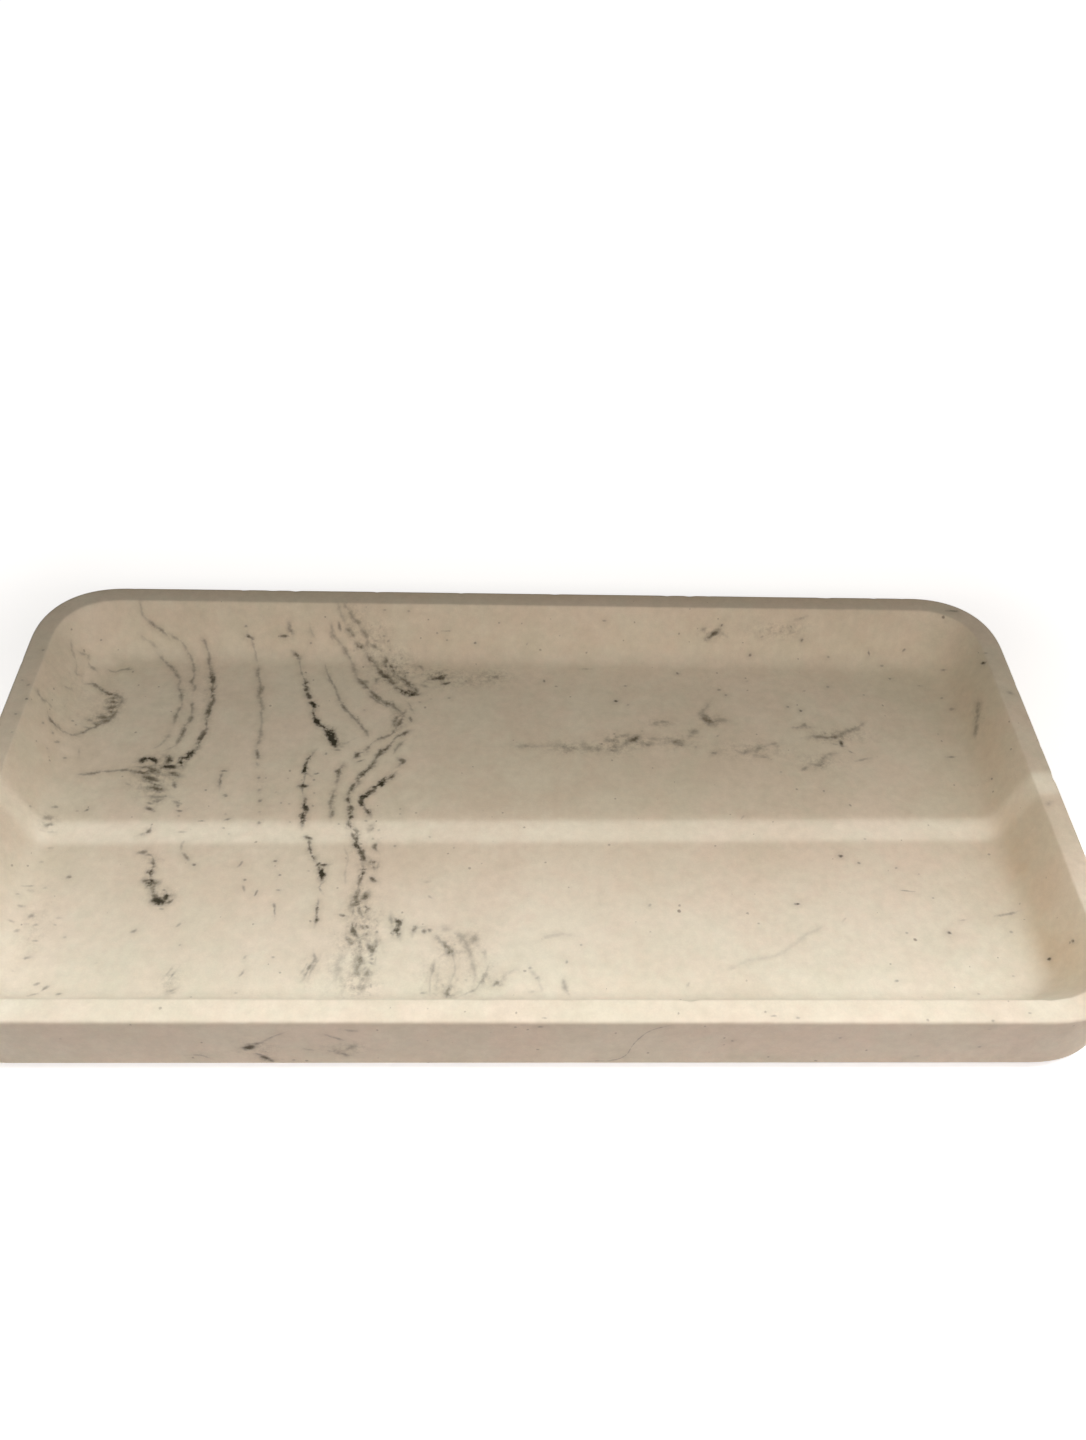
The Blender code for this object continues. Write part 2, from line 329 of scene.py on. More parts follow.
    "low_blot": Vein(2.3, 0.65, (
        (360, 956, 0.8), (360, 961, 1.1), (357, 966, 0.7), (357, 971, 0.5), (358, 976, 0.3))),
    "faint_fall": Vein(2.2, 0.2, ((343, 952, 0.7), (339, 968), (337, 984, 0.7))),
    "faint_loop": Vein(0.8, 0.2, ((345, 849), (348, 860), (345, 872), (346, 885, 0.6))),
    "companion_v": Vein(1.6, 0.6, (
        (367, 943, 0.7), (370, 947, 0.9), (372, 950, 1.2), (375, 947, 1.0), (376, 941, 0.7))),
    "companion_low": Vein(2.1, 0.45, ((366, 969), (368, 974), (368, 977, 0.5))),
    "companion_end": Vein(1.1, 0.45, ((365, 984), (361, 991, 0.8))),
    "inner_arc_head": Vein(1.3, 0.65, ((399, 759, 0.8), (403, 762, 1.1), (401, 764, 0.9), (397, 767, 0.9))),
    "inner_arc": Vein(1.6, 0.95, (
        (394, 774, 0.9), (391, 777, 0.8), (388, 778, 0.7), (386, 780, 0.8), (381, 783, 1.4),
        (376, 787, 1.3), (374, 791, 0.5), (370, 792, 0.8), (364, 795, 1.3), (362, 797, 1.1),
        (361, 800, 0.8), (362, 804, 1.0), (365, 808, 0.5), (368, 811, 0.9), (370, 815, 0.9))),
    "companion_top": Vein(1.6, 0.8, ((372, 826, 1.1), (370, 829, 0.9))),
    "companion_bend": Vein(1.2, 0.65, ((377, 843), (375, 848), (378, 852, 0.8))),
    "companion": Vein(1.7, 0.85, ((371, 860, 1.1), (373, 864), (374, 869, 0.4))),
    "companion_side": Vein(1.4, 0.5, ((379, 863), (377, 870, 0.8))),
    # The dotted stream
    "dotted_head": Vein(1.3, 1.0, (
        (314, 752, 0.6), (310, 757, 1.0), (307, 762, 0.8), (305, 768, 1.4), (306, 772, 1.7),
        (308, 774, 0.9))),
    "dotted_link": Vein(0.9, 0.5, ((306, 773, 0.8), (304, 780), (302, 787), (303, 796, 0.8))),
    "dotted_stream": Vein(1.4, 0.9, (
        (304, 796, 0.7), (305, 800, 0.7), (304, 803, 1.1), (305, 807, 1.2), (304, 812, 0.9),
        (303, 816, 1.2), (304, 820, 1.1), (303, 823, 0.8), (302, 827, 0.5))),
    "dotted_thin": Vein(1.1, 1.0, ((309, 841, 0.6), (310, 848, 0.7), (312, 855, 1.2), (315, 860, 1.0))),
    "dotted_low": Vein(1.4, 1.0, ((326, 866, 0.7), (321, 868, 0.9), (322, 874, 1.3), (322, 880, 1.1))),
    "dotted_curl": Vein(0.7, 0.5, ((323, 883), (319, 887), (322, 892))),
    "dotted_end": Vein(1.1, 0.9, (
        (318, 901, 0.5), (318, 905, 1.2), (317, 909, 0.8), (317, 914, 0.5), (317, 918, 1.0),
        (315, 924, 0.8))),
    "dotted_foot": Vein(1.0, 0.5, (
        (314, 953, 0.5), (315, 960, 0.9), (310, 966, 1.1), (307, 972, 0.8), (304, 978, 0.9))),
    "dotted_foot_side": Vein(0.8, 0.35, ((308, 961), (305, 967), (301, 973, 0.8))),
    "dotted_foot_right": Vein(0.8, 0.3, ((319, 958), (316, 964), (311, 971), (309, 977, 0.7))),
    # The blots
    "blot_neck": Vein(1.5, 0.85, (
        (147, 854, 0.6), (152, 856, 0.4), (154, 862, 0.6), (153, 867, 0.8), (151, 872, 1.1),
        (150, 878, 1.0))),
    "blot_first": Vein(2.8, 0.95, ((144, 881, 0.7), (149, 882, 1.1), (152, 885, 1.2), (157, 883, 0.6))),
    "blot_between": Vein(2.2, 0.75, ((152, 888, 1.0), (155, 894, 0.8), (157, 899, 1.0))),
    "blot_second": Vein(3.4, 1.0, ((154, 900, 0.8), (159, 901, 1.2), (164, 902, 0.8))),
    "blot_arm": Vein(1.6, 0.95, ((163, 900), (167, 896, 1.1), (171, 895, 0.7))),
    "blot_arm_low": Vein(1.3, 0.85, ((164, 904), (168, 903), (172, 900, 0.7))),
    # The arch in front
    "arch_post": Vein(1.5, 0.5, ((391, 916), (391, 922), (391, 928, 0.7))),
    "arch_dots": Vein(1.7, 0.85, (
        (395, 919, 1.1), (399, 923, 1.0), (398, 929, 0.8), (396, 933, 1.3), (398, 937, 0.7))),
    "arch_hook": Vein(1.3, 0.7, ((413, 932, 1.1), (414, 929), (419, 928, 0.8))),
    "arch_bend": Vein(1.6, 0.5, (
        (438, 939, 0.6), (445, 945, 1.0), (450, 951, 1.3), (453, 957, 0.35), (455, 969, 0.3),
        (450, 983, 0.35))),
    "arch_dash": Vein(1.3, 0.7, ((447, 954, 0.7), (450, 953, 1.1), (453, 953, 0.7))),
    "arch_inner": Vein(1.2, 0.5, ((434, 964, 1.0), (432, 971, 0.9), (430, 981, 0.35), (430, 993, 0.3))),
    "arch_inner_side": Vein(1.2, 0.2, ((438, 972), (437, 981), (436, 990))),
    "arch_foot": Vein(1.5, 0.7, (
        (452, 985, 1.1), (448, 989, 0.6), (447, 993, 0.8), (450, 996, 0.9), (455, 994, 0.6))),
    "arch_second": Vein(2.0, 0.3, (
        (459, 935), (464, 942, 1.2), (468, 951, 1.2), (472, 961, 0.7), (475, 971, 0.7), (474, 984, 0.4))),
    "arch_third": Vein(2.2, 0.35, ((471, 935), (474, 939, 1.1), (476, 943, 0.9))),
    "arch_fourth": Vein(1.3, 0.5, (
        (489, 965, 0.4), (486, 973, 0.9), (483, 979, 1.1), (479, 985, 0.5), (473, 991, 0.5),
        (464, 995, 0.6))),
    "arch_stroke": Vein(1.5, 0.65, ((502, 981, 1.3), (497, 984, 0.9), (492, 986, 0.6))),
    "arch_stroke_tail": Vein(1.3, 0.25, ((502, 979), (509, 973), (518, 968))),
    "arch_last": Vein(1.4, 0.2, ((530, 970), (535, 976), (540, 984), (543, 992, 0.6))),
    "arch_end": Vein(1.3, 0.35, ((563, 979, 0.6), (565, 987, 1.1), (569, 995, 0.8))),
    "arch_faint": Vein(1.4, 0.15, ((541, 940), (550, 936), (562, 934), (574, 936, 0.5))),
    "arch_haze": Vein(2.2, 0.25, ((440, 929), (449, 928))),
    # The cloud and the tick behind
    "cloud_first": Vein(2.1, 0.2, (
        (515, 746, 0.6), (529, 746), (545, 746, 0.4), (560, 746, 0.8), (567, 748, 1.3), (572, 751, 0.8))),
    "cloud_second": Vein(2.1, 0.25, ((583, 742, 0.8), (582, 747, 0.5), (592, 749), (601, 751, 0.8))),
    "cloud_third": Vein(2.1, 0.3, ((617, 744), (619, 747, 0.9), (625, 743, 0.8), (631, 740, 0.9))),
    "cloud_blot": Vein(3.3, 0.65, ((632, 740, 0.7), (635, 739, 1.1), (638, 738, 0.8))),
    "cloud_dash": Vein(1.9, 0.35, ((641, 744), (646, 745, 1.1), (651, 744, 0.8))),
    "cloud_line": Vein(1.6, 0.25, ((650, 738), (660, 739, 0.8), (671, 739, 0.6))),
    "cloud_wisp": Vein(1.4, 0.2, ((655, 725), (661, 722), (668, 723))),
    "cloud_end": Vein(2.5, 0.3, ((672, 742, 0.7), (678, 743, 1.1), (686, 745, 0.6))),
    "cloud_slash": Vein(2.1, 0.3, ((689, 736), (694, 732, 0.9), (698, 730, 0.6))),
    "cloud_last": Vein(1.6, 0.3, ((712, 755), (718, 752, 0.8))),
    "tick_top": Vein(1.9, 0.3, ((711, 700, 0.5), (706, 708, 0.8), (701, 713, 1.1))),
    "tick": Vein(3.5, 0.5, ((701, 713, 0.7), (706, 719, 1.0), (713, 724, 1.4))),
    "tick_right": Vein(2.3, 0.35, ((713, 724, 1.3), (719, 720, 0.9), (728, 721, 0.4))),
    # The right side
    "streak_long": Vein(1.7, 0.3, ((741, 753), (753, 751), (761, 747), (778, 743, 0.7))),
    "streak_short": Vein(1.4, 0.3, ((754, 754), (761, 756), (769, 758, 0.7))),
    "streak_upper": Vein(1.4, 0.4, (
        (793, 728, 0.8), (799, 727), (805, 725, 1.2), (807, 727), (813, 727, 0.6))),
    "streak_dark": Vein(1.7, 0.4, (
        (810, 737, 0.8), (821, 737), (826, 738), (835, 737), (842, 733), (855, 729), (864, 723, 0.6))),
    "streak_lower": Vein(1.7, 0.3, ((814, 765), (820, 765, 1.2), (824, 759), (828, 755), (838, 753, 0.7))),
    "slant": Vein(1.4, 0.15, ((729, 969), (752, 960), (770, 957), (789, 948), (806, 935), (822, 927))),
    "right_wall_smear": Vein(2.5, 0.35, ((978, 702), (977, 718), (975, 735))),
    # The front wall and the left front
    "front_hook": Vein(0.8, 0.35, ((264, 1041), (272, 1037), (283, 1033, 0.7))),
    "front_dash": Vein(0.7, 0.5, ((193, 1055), (200, 1055), (209, 1058, 0.7))),
    "front_crack": Vein(0.4, 0.45, (
        (593, 1061), (614, 1060), (626, 1055), (633, 1045), (642, 1036), (652, 1030), (667, 1026))),
    "front_faint": Vein(1.1, 0.4, ((325, 1050, 0.8), (331, 1051), (336, 1051, 0.7))),
    "left_low_hatch": Vein(0.8, 0.45, ((166, 975), (171, 969, 0.8))),
    "left_low_hatch_second": Vein(0.8, 0.45, ((168, 981), (172, 976), (175, 972, 0.8))),
    "left_low_blot": Vein(1.9, 0.45, ((168, 993, 0.7), (171, 991, 1.1), (175, 989, 0.6))),
}

# Short strokes: the pixels of both ends, full width in mm, and ink
STROKES = (
    # In the swirl
    (110, 702, 120, 702, 1.8, 0.6), (111, 698, 120, 698, 2.1, 0.4), (107, 709, 117, 706, 1.8, 0.55),
    (110, 712, 115, 712, 1.6, 0.45), (98, 717, 111, 717, 1.6, 0.55), (100, 722, 108, 721, 1.4, 0.55),
    (88, 720, 92, 721, 1.2, 0.45), (91, 723, 99, 725, 1.4, 0.55), (84, 727, 91, 728, 1.2, 0.45),
    (64, 686, 70, 689, 1.0, 0.25), (55, 742, 59, 742, 0.8, 0.45), (63, 758, 66, 758, 0.8, 0.45),
    (79, 748, 79, 756, 0.9, 0.2),
    # Round the knot
    (147, 808, 152, 810, 1.3, 0.65), (148, 803, 152, 804, 0.9, 0.45), (175, 802, 182, 804, 1.0, 0.45),
    (177, 810, 181, 811, 0.9, 0.6), (174, 783, 175, 787, 1.2, 0.6), (221, 771, 226, 771, 0.9, 0.7),
    (198, 821, 205, 821, 0.6, 0.55), (177, 832, 186, 832, 0.9, 0.3), (198, 740, 198, 744, 1.0, 0.5),
    (126, 783, 131, 786, 0.9, 0.25),
    # Round the falls
    (246, 636, 251, 638, 1.3, 0.85), (257, 751, 258, 757, 1.3, 0.65), (281, 636, 289, 636, 0.9, 0.75),
    (333, 750, 340, 750, 0.7, 0.45),
    # In the fan
    (339, 623, 340, 629, 0.9, 0.5), (418, 665, 423, 669, 1.5, 0.4), (432, 679, 443, 678, 1.5, 0.75),
    (439, 677, 443, 675, 1.0, 0.8), (443, 684, 449, 683, 1.2, 0.8), (443, 631, 450, 631, 0.6, 0.5),
    (421, 685, 428, 687, 1.6, 0.3), (372, 645, 377, 648, 1.4, 0.45), (363, 681, 368, 682, 1.5, 0.35),
    # Round the streams
    (410, 716, 411, 720, 1.0, 0.6), (357, 762, 363, 760, 0.8, 0.55), (332, 809, 332, 815, 1.2, 0.65),
    (371, 878, 375, 881, 1.4, 0.85), (300, 786, 306, 786, 1.2, 0.95), (306, 837, 310, 838, 1.2, 0.85),
    (315, 774, 319, 773, 0.8, 0.65), (340, 915, 345, 916, 0.9, 0.6), (366, 925, 368, 929, 0.9, 0.5),
    (368, 957, 372, 955, 0.9, 0.4), (376, 957, 375, 962, 1.0, 0.45), (369, 962, 373, 964, 1.0, 0.4),
    (371, 984, 371, 988, 0.8, 0.4), (317, 865, 320, 863, 1.0, 0.85), (320, 865, 327, 865, 0.9, 0.95),
    # In the arch
    (436, 936, 441, 941, 1.6, 0.4), (420, 993, 424, 993, 0.9, 0.35), (457, 935, 464, 937, 1.8, 0.35),
    (485, 950, 485, 957, 1.2, 0.2),
    # Round the cloud and the tick
    (704, 717, 712, 722, 2.6, 0.4), (606, 741, 616, 740, 1.6, 0.3), (609, 750, 618, 751, 1.7, 0.3),
    (621, 736, 628, 735, 1.3, 0.3), (523, 746, 533, 746, 1.8, 0.25), (563, 747, 571, 748, 1.8, 0.4),
    (654, 723, 668, 721, 1.8, 0.2), (674, 742, 681, 743, 1.8, 0.45), (708, 638, 719, 631, 1.8, 0.75),
    (719, 631, 726, 636, 1.4, 0.2), (700, 631, 708, 627, 1.2, 0.35), (796, 620, 807, 616, 1.2, 0.3),
    (788, 634, 798, 631, 0.8, 0.2),
    # Round the blots
    (154, 900, 163, 902, 2.2, 1.0), (146, 882, 155, 884, 1.9, 0.85), (159, 909, 163, 909, 0.8, 0.4),
    (182, 842, 181, 849, 0.8, 0.3), (184, 854, 187, 858, 1.2, 0.55), (132, 932, 136, 930, 0.9, 0.45),
    (176, 927, 180, 924, 0.8, 0.4), (238, 867, 242, 862, 0.8, 0.5), (243, 886, 244, 890, 0.8, 0.4),
    (254, 897, 257, 891, 0.7, 0.6), (274, 904, 275, 917, 0.8, 0.55), (244, 958, 246, 956, 0.8, 0.4),
    (240, 976, 244, 971, 0.8, 0.45), (138, 853, 145, 852, 1.4, 0.55),
    # On the right
    (825, 738, 838, 737, 1.6, 0.6), (840, 741, 842, 745, 1.3, 0.85), (833, 744, 839, 745, 0.9, 0.3),
    (847, 750, 855, 754, 0.8, 0.4), (856, 761, 870, 758, 1.0, 0.35), (756, 757, 770, 758, 0.8, 0.3),
    (818, 767, 825, 763, 1.0, 0.5), (996, 916, 1016, 912, 0.9, 0.45), (28, 996, 39, 993, 0.9, 0.35),
    # On the front wall
    (247, 1048, 251, 1047, 2.7, 0.85), (253, 1044, 261, 1043, 1.0, 0.55), (257, 1054, 263, 1055, 1.1, 0.6),
    (263, 1056, 268, 1059, 1.7, 0.8), (268, 1059, 272, 1061, 1.0, 0.55), (339, 1053, 349, 1055, 1.4, 0.5),
    (344, 1054, 347, 1055, 1.6, 0.7), (346, 1048, 355, 1046, 1.5, 0.35), (326, 1035, 332, 1037, 0.9, 0.4),
    (333, 1037, 342, 1040, 1.0, 0.4), (343, 1030, 354, 1031, 1.3, 0.3), (305, 1049, 312, 1050, 1.0, 0.3),
    (803, 770, 807, 767, 1.3, 0.4),
)

# Single marks: the pixel of the middle, length, width (mm), angle from level in the photo (degrees), ink
MARKS = (
    # Specks on the left
    (43, 650, 1.1, 0.9, 0, 0.35), (73, 721, 1.1, 0.8, 0, 0.4), (43, 723, 1.1, 0.8, 0, 0.35),
    (53, 733, 1.1, 0.8, 0, 0.4), (47, 748, 0.9, 0.8, 0, 0.4), (101, 640, 0.8, 0.7, 0, 0.55),
    (16, 714, 1.1, 0.8, 0, 0.55), (26, 699, 0.9, 0.7, 0, 1.0), (68, 877, 1.6, 0.9, 35, 0.5),
    (30, 806, 0.9, 0.7, 0, 0.35), (55, 807, 2.2, 1.2, 0, 0.45), (77, 811, 1.1, 0.8, 0, 0.35),
    (87, 810, 1.6, 0.8, 30, 0.6), (48, 818, 2.8, 1.8, 0, 0.4), (48, 825, 3.0, 1.5, 0, 0.55),
    (50, 832, 4.0, 0.9, 0, 0.25), (50, 848, 2.0, 0.9, 0, 0.2), (42, 862, 1.4, 0.8, 0, 0.2),
    (27, 886, 3.2, 0.7, 0, 0.35), (30, 891, 2.6, 1.4, 0, 0.2), (18, 894, 1.4, 0.7, 0, 0.45),
    (45, 888, 1.4, 0.8, 0, 0.2), (21, 906, 2.6, 0.9, -10, 0.3), (31, 916, 2.8, 2.0, 0, 0.4),
    (11, 921, 1.8, 0.8, -20, 0.3), (16, 931, 2.0, 1.0, 20, 0.3), (36, 925, 1.6, 0.9, 0, 0.35),
    (59, 918, 1.8, 0.7, 0, 0.2), (55, 925, 1.4, 0.7, -20, 0.35), (36, 941, 2.4, 0.8, -5, 0.4),
    (65, 937, 1.1, 0.7, 0, 0.3), (27, 958, 2.2, 0.9, 15, 0.45), (13, 971, 1.6, 0.9, -20, 0.25),
    (96, 963, 1.4, 0.6, 15, 0.2), (37, 984, 2.2, 1.0, 20, 0.45), (44, 989, 2.2, 1.0, 35, 0.5),
    (59, 994, 1.5, 0.8, 10, 0.5), (227, 819.5, 2.0, 1.0, 10, 0.6), (226, 796, 0.9, 0.7, 0, 0.55),
    (224, 828, 0.9, 0.7, 0, 0.4), (229, 834, 0.9, 0.7, 0, 0.35), (303, 785, 1.5, 1.1, 90, 1.0),
    (206, 790, 0.7, 0.6, 0, 0.45), (179, 816, 1.1, 0.9, 0, 0.35), (164, 890, 1.1, 0.9, 0, 0.5),
    (194, 865, 1.1, 0.9, 0, 0.65), (180, 945, 0.9, 0.8, 0, 0.4), (245, 880, 0.9, 0.8, 0, 0.5),
    (273, 957, 0.9, 0.7, 0, 0.35), (236, 993, 0.9, 0.7, 0, 0.3), (28, 685, 1.6, 1.0, 20, 0.35),
    (22, 680, 1.2, 0.9, 0, 0.25), (12, 732, 0.9, 0.7, 0, 0.45), (57, 741, 1.1, 0.7, 0, 0.4),
    (225, 795, 1.1, 0.8, 0, 0.4), (289, 804, 0.9, 0.7, 0, 0.35),
    # Specks along the falls and the streams
    (257, 764, 1.5, 1.2, 90, 0.45), (259, 778, 1.6, 1.3, 90, 0.55), (259, 790, 1.3, 1.1, 0, 0.4),
    (260, 801, 1.4, 1.2, 90, 0.45), (259, 812, 1.3, 1.0, 0, 0.4), (259, 823, 1.5, 1.2, 90, 0.5),
    (226, 814, 1.2, 1.0, 0, 0.35), (183, 843, 1.6, 0.9, 80, 0.3), (178, 806, 2.0, 1.1, 90, 0.45),
    (424, 931, 1.5, 1.3, 0, 0.6), (430, 930, 1.4, 1.2, 0, 0.6), (435, 985, 2.0, 1.2, 90, 0.2),
    (537, 978, 1.6, 1.1, 0, 0.4), (532, 992, 1.6, 1.2, 0, 0.2), (483, 952, 1.2, 1.0, 0, 0.25),
    (427, 882, 2.2, 1.2, 0, 0.2), (356, 925, 3.0, 1.0, 70, 0.5), (349, 939, 2.2, 0.9, -40, 0.4),
    (372, 948, 2.6, 1.1, -50, 0.45), (372, 959, 2.0, 1.3, 0, 0.45), (365, 969, 1.8, 1.1, 60, 0.35),
    (360, 984, 4.0, 1.6, 70, 0.3), (353, 912, 3.0, 0.9, 80, 0.4), (361, 914, 2.2, 0.9, -60, 0.4),
    (246, 626, 1.1, 0.8, 0, 0.5), (311, 643, 0.9, 0.8, 0, 0.5), (326, 753, 1.1, 0.8, 0, 0.55),
    (354, 651, 0.9, 0.8, 0, 0.35), (384, 636, 1.1, 0.8, 0, 0.55), (388, 641, 1.1, 0.8, 0, 0.6),
    (390, 650, 0.9, 0.8, 0, 0.35), (366, 607, 1.1, 0.8, 0, 0.55), (385, 610, 1.1, 0.7, 0, 0.35),
    (409, 611, 1.1, 0.7, 0, 0.4), (437, 633, 0.8, 0.7, 0, 0.45), (447, 640, 0.9, 0.8, 0, 0.55),
    (364, 710, 0.8, 0.7, 0, 0.35), (431, 699, 1.1, 0.8, 0, 0.3), (420, 702, 1.1, 0.8, 0, 0.35),
    (361, 844, 1.2, 0.9, 0, 0.55), (366, 821, 0.9, 0.8, 0, 0.35), (379, 830, 1.1, 0.9, 0, 0.4),
    (381, 838, 0.9, 0.8, 0, 0.35), (373, 839, 0.9, 0.8, 0, 0.35), (363, 889, 0.9, 0.8, 0, 0.5),
    (400, 809, 0.8, 0.7, 0, 0.45), (400, 814, 0.7, 0.6, 0, 0.4), (339, 824, 0.9, 0.7, 0, 0.45),
    (395, 846, 0.9, 0.8, 0, 0.45), (454, 848, 0.8, 0.7, 0, 0.4), (430, 837, 0.8, 0.7, 0, 0.35),
    (346, 858, 1.2, 0.9, 90, 0.5), (302, 780, 1.1, 0.8, 0, 0.4), (326, 754, 0.9, 0.7, 0, 0.55),
    (314, 780, 0.9, 0.8, 0, 0.55), (314, 793, 0.8, 0.7, 0, 0.35), (313, 806, 0.8, 0.7, 0, 0.4),
    (276, 792, 0.8, 0.7, 0, 0.35), (281, 803, 0.8, 0.7, 0, 0.4), (290, 822, 0.8, 0.7, 0, 0.4),
    (266, 778, 0.9, 0.7, 0, 0.45), (275, 861, 0.9, 0.8, 0, 0.65), (275, 866, 0.8, 0.7, 0, 0.6),
    (280, 875, 0.9, 0.8, 0, 0.6), (278, 890, 1.1, 0.7, 0, 0.5), (309, 871, 0.9, 0.8, 0, 0.3),
    (358, 908, 0.9, 0.8, 0, 0.4), (377, 932, 0.9, 0.8, 0, 0.4), (370, 995, 0.9, 0.8, 0, 0.4),
    (430, 897, 2.2, 0.8, -40, 0.3), (466, 980, 1.1, 0.9, 0, 0.25), (473, 991, 1.1, 0.8, 0, 0.35),
    # The rear wall and the floor behind
    (449, 698, 1.2, 0.8, 0, 0.45), (466, 681, 1.2, 0.8, 0, 0.55), (495, 677, 3.0, 1.6, 0, 0.45),
    (475, 643, 0.9, 0.8, 0, 0.65), (499, 623, 0.8, 0.6, 0, 0.55), (527, 644, 1.2, 0.7, 60, 0.35),
    (544, 681, 1.4, 0.9, -70, 0.65), (586, 669, 5.5, 0.4, 0, 0.4), (604, 621, 1.4, 0.7, 0, 0.65),
    (616, 701, 1.2, 1.1, 0, 1.0), (628, 705, 0.9, 0.8, 0, 0.3), (625, 686, 1.6, 0.5, 0, 0.55),
    (677, 673, 1.3, 1.1, 90, 0.75), (642, 731, 0.9, 0.8, 0, 0.3), (614, 734, 1.3, 1.1, 0, 0.45),
    (696, 747, 0.9, 0.8, 0, 0.25), (718, 736, 1.2, 0.8, 40, 0.3), (715, 753, 2.4, 0.9, 0, 0.5),
    (722, 625, 1.5, 0.9, 60, 0.85), (791, 627, 1.3, 0.8, -60, 0.55), (802, 640, 1.4, 1.1, 45, 0.75),
    (762, 637, 1.2, 0.9, 45, 0.4), (750, 655, 1.1, 0.9, 45, 0.6), (828, 657, 1.1, 0.9, 0, 0.5),
    (869, 653, 1.9, 0.8, -80, 0.65), (882, 666, 1.1, 0.9, 0, 0.45), (890, 679, 1.1, 0.9, 0, 0.5),
    (864, 695, 1.1, 0.9, 0, 0.4), (828, 687, 1.1, 0.9, 0, 0.5), (804, 691, 1.4, 0.9, 0, 0.3),
    (747, 681, 1.1, 0.8, 0, 0.35), (719, 690, 1.1, 0.9, 0, 0.4), (726, 695, 0.9, 0.9, 0, 0.45),
    (788, 707, 1.1, 0.9, 0, 0.55), (801, 711, 1.1, 1.0, 0, 0.85), (781, 772, 0.9, 0.8, 0, 0.4),
    (824, 791, 0.9, 0.8, 0, 0.55), (904, 650, 1.6, 0.7, 45, 0.5), (944, 670, 2.2, 0.8, 0, 0.5),
    (920, 686, 1.9, 0.7, 0, 0.45), (942, 698, 0.9, 0.8, 0, 0.45), (983, 663, 2.2, 1.0, 10, 0.9),
    (986, 653, 1.6, 0.7, 0, 0.35), (952, 611, 3.6, 0.8, 0, 0.6), (1010, 693, 2.4, 1.4, 0, 0.3),
    (1049, 803, 2.8, 1.6, 30, 0.3), (1011, 749, 0.9, 0.7, 0, 0.55), (992, 779, 0.9, 0.7, 0, 0.55),
    (952, 709, 2.4, 1.4, 0, 0.35), (938, 734, 0.8, 0.7, 0, 0.35), (951, 757, 3.0, 0.7, 0, 0.45),
    # The floor on the right and in front
    (742, 818, 2.2, 0.8, 55, 0.3), (865, 839, 0.9, 0.8, 0, 0.45), (841, 856, 1.5, 0.9, 10, 0.85),
    (798, 904, 1.9, 0.8, 0, 0.95), (950, 933, 1.2, 1.0, -20, 0.8), (896, 868, 0.8, 0.7, 0, 0.55),
    (859, 863, 0.8, 0.7, 0, 0.55), (919, 874, 0.8, 0.7, 0, 0.45), (933, 898, 0.8, 0.7, 0, 0.45),
    (907, 933, 0.8, 0.7, 0, 0.45), (908, 891, 4.6, 0.4, -5, 0.4), (964, 920, 2.8, 0.6, 5, 0.4),
    (1073, 941, 1.1, 0.8, 0, 0.75), (1049, 959, 1.1, 0.8, 0, 0.9), (1011, 932, 0.9, 0.7, 0, 0.35),
    (1013, 976, 0.9, 0.7, 0, 0.35), (979, 994, 0.9, 0.7, 0, 0.35), (845, 919, 2.4, 0.7, 45, 0.2),
    (897, 981, 1.4, 0.7, 10, 0.5), (530, 968, 1.2, 0.8, 0, 0.35), (567, 962, 1.4, 0.8, 80, 0.45),
    (542, 939, 0.9, 0.7, 0, 0.35), (650, 905, 1.4, 0.8, 30, 0.3), (688, 985, 2.2, 0.8, 60, 0.3),
    (581, 945, 0.8, 0.7, 0, 0.45), (545, 1018, 1.6, 0.8, 0, 0.5), (774, 1016, 2.4, 0.6, 0, 0.5),
    (798, 1018, 1.2, 0.7, 0, 0.45), (1030, 1013, 1.2, 0.7, 0, 0.45), (993, 1021, 0.9, 0.7, 0, 0.45),
    # The front wall
    (294, 1060, 1.1, 0.8, 0, 0.5), (540, 1027, 1.2, 0.7, 0, 0.55), (732, 1041, 1.1, 0.8, 0, 0.45),
    (840, 1038, 0.9, 0.8, 0, 0.55), (979, 1047, 1.2, 0.8, 0, 0.55), (917, 1056, 2.0, 0.8, 0, 0.3),
)

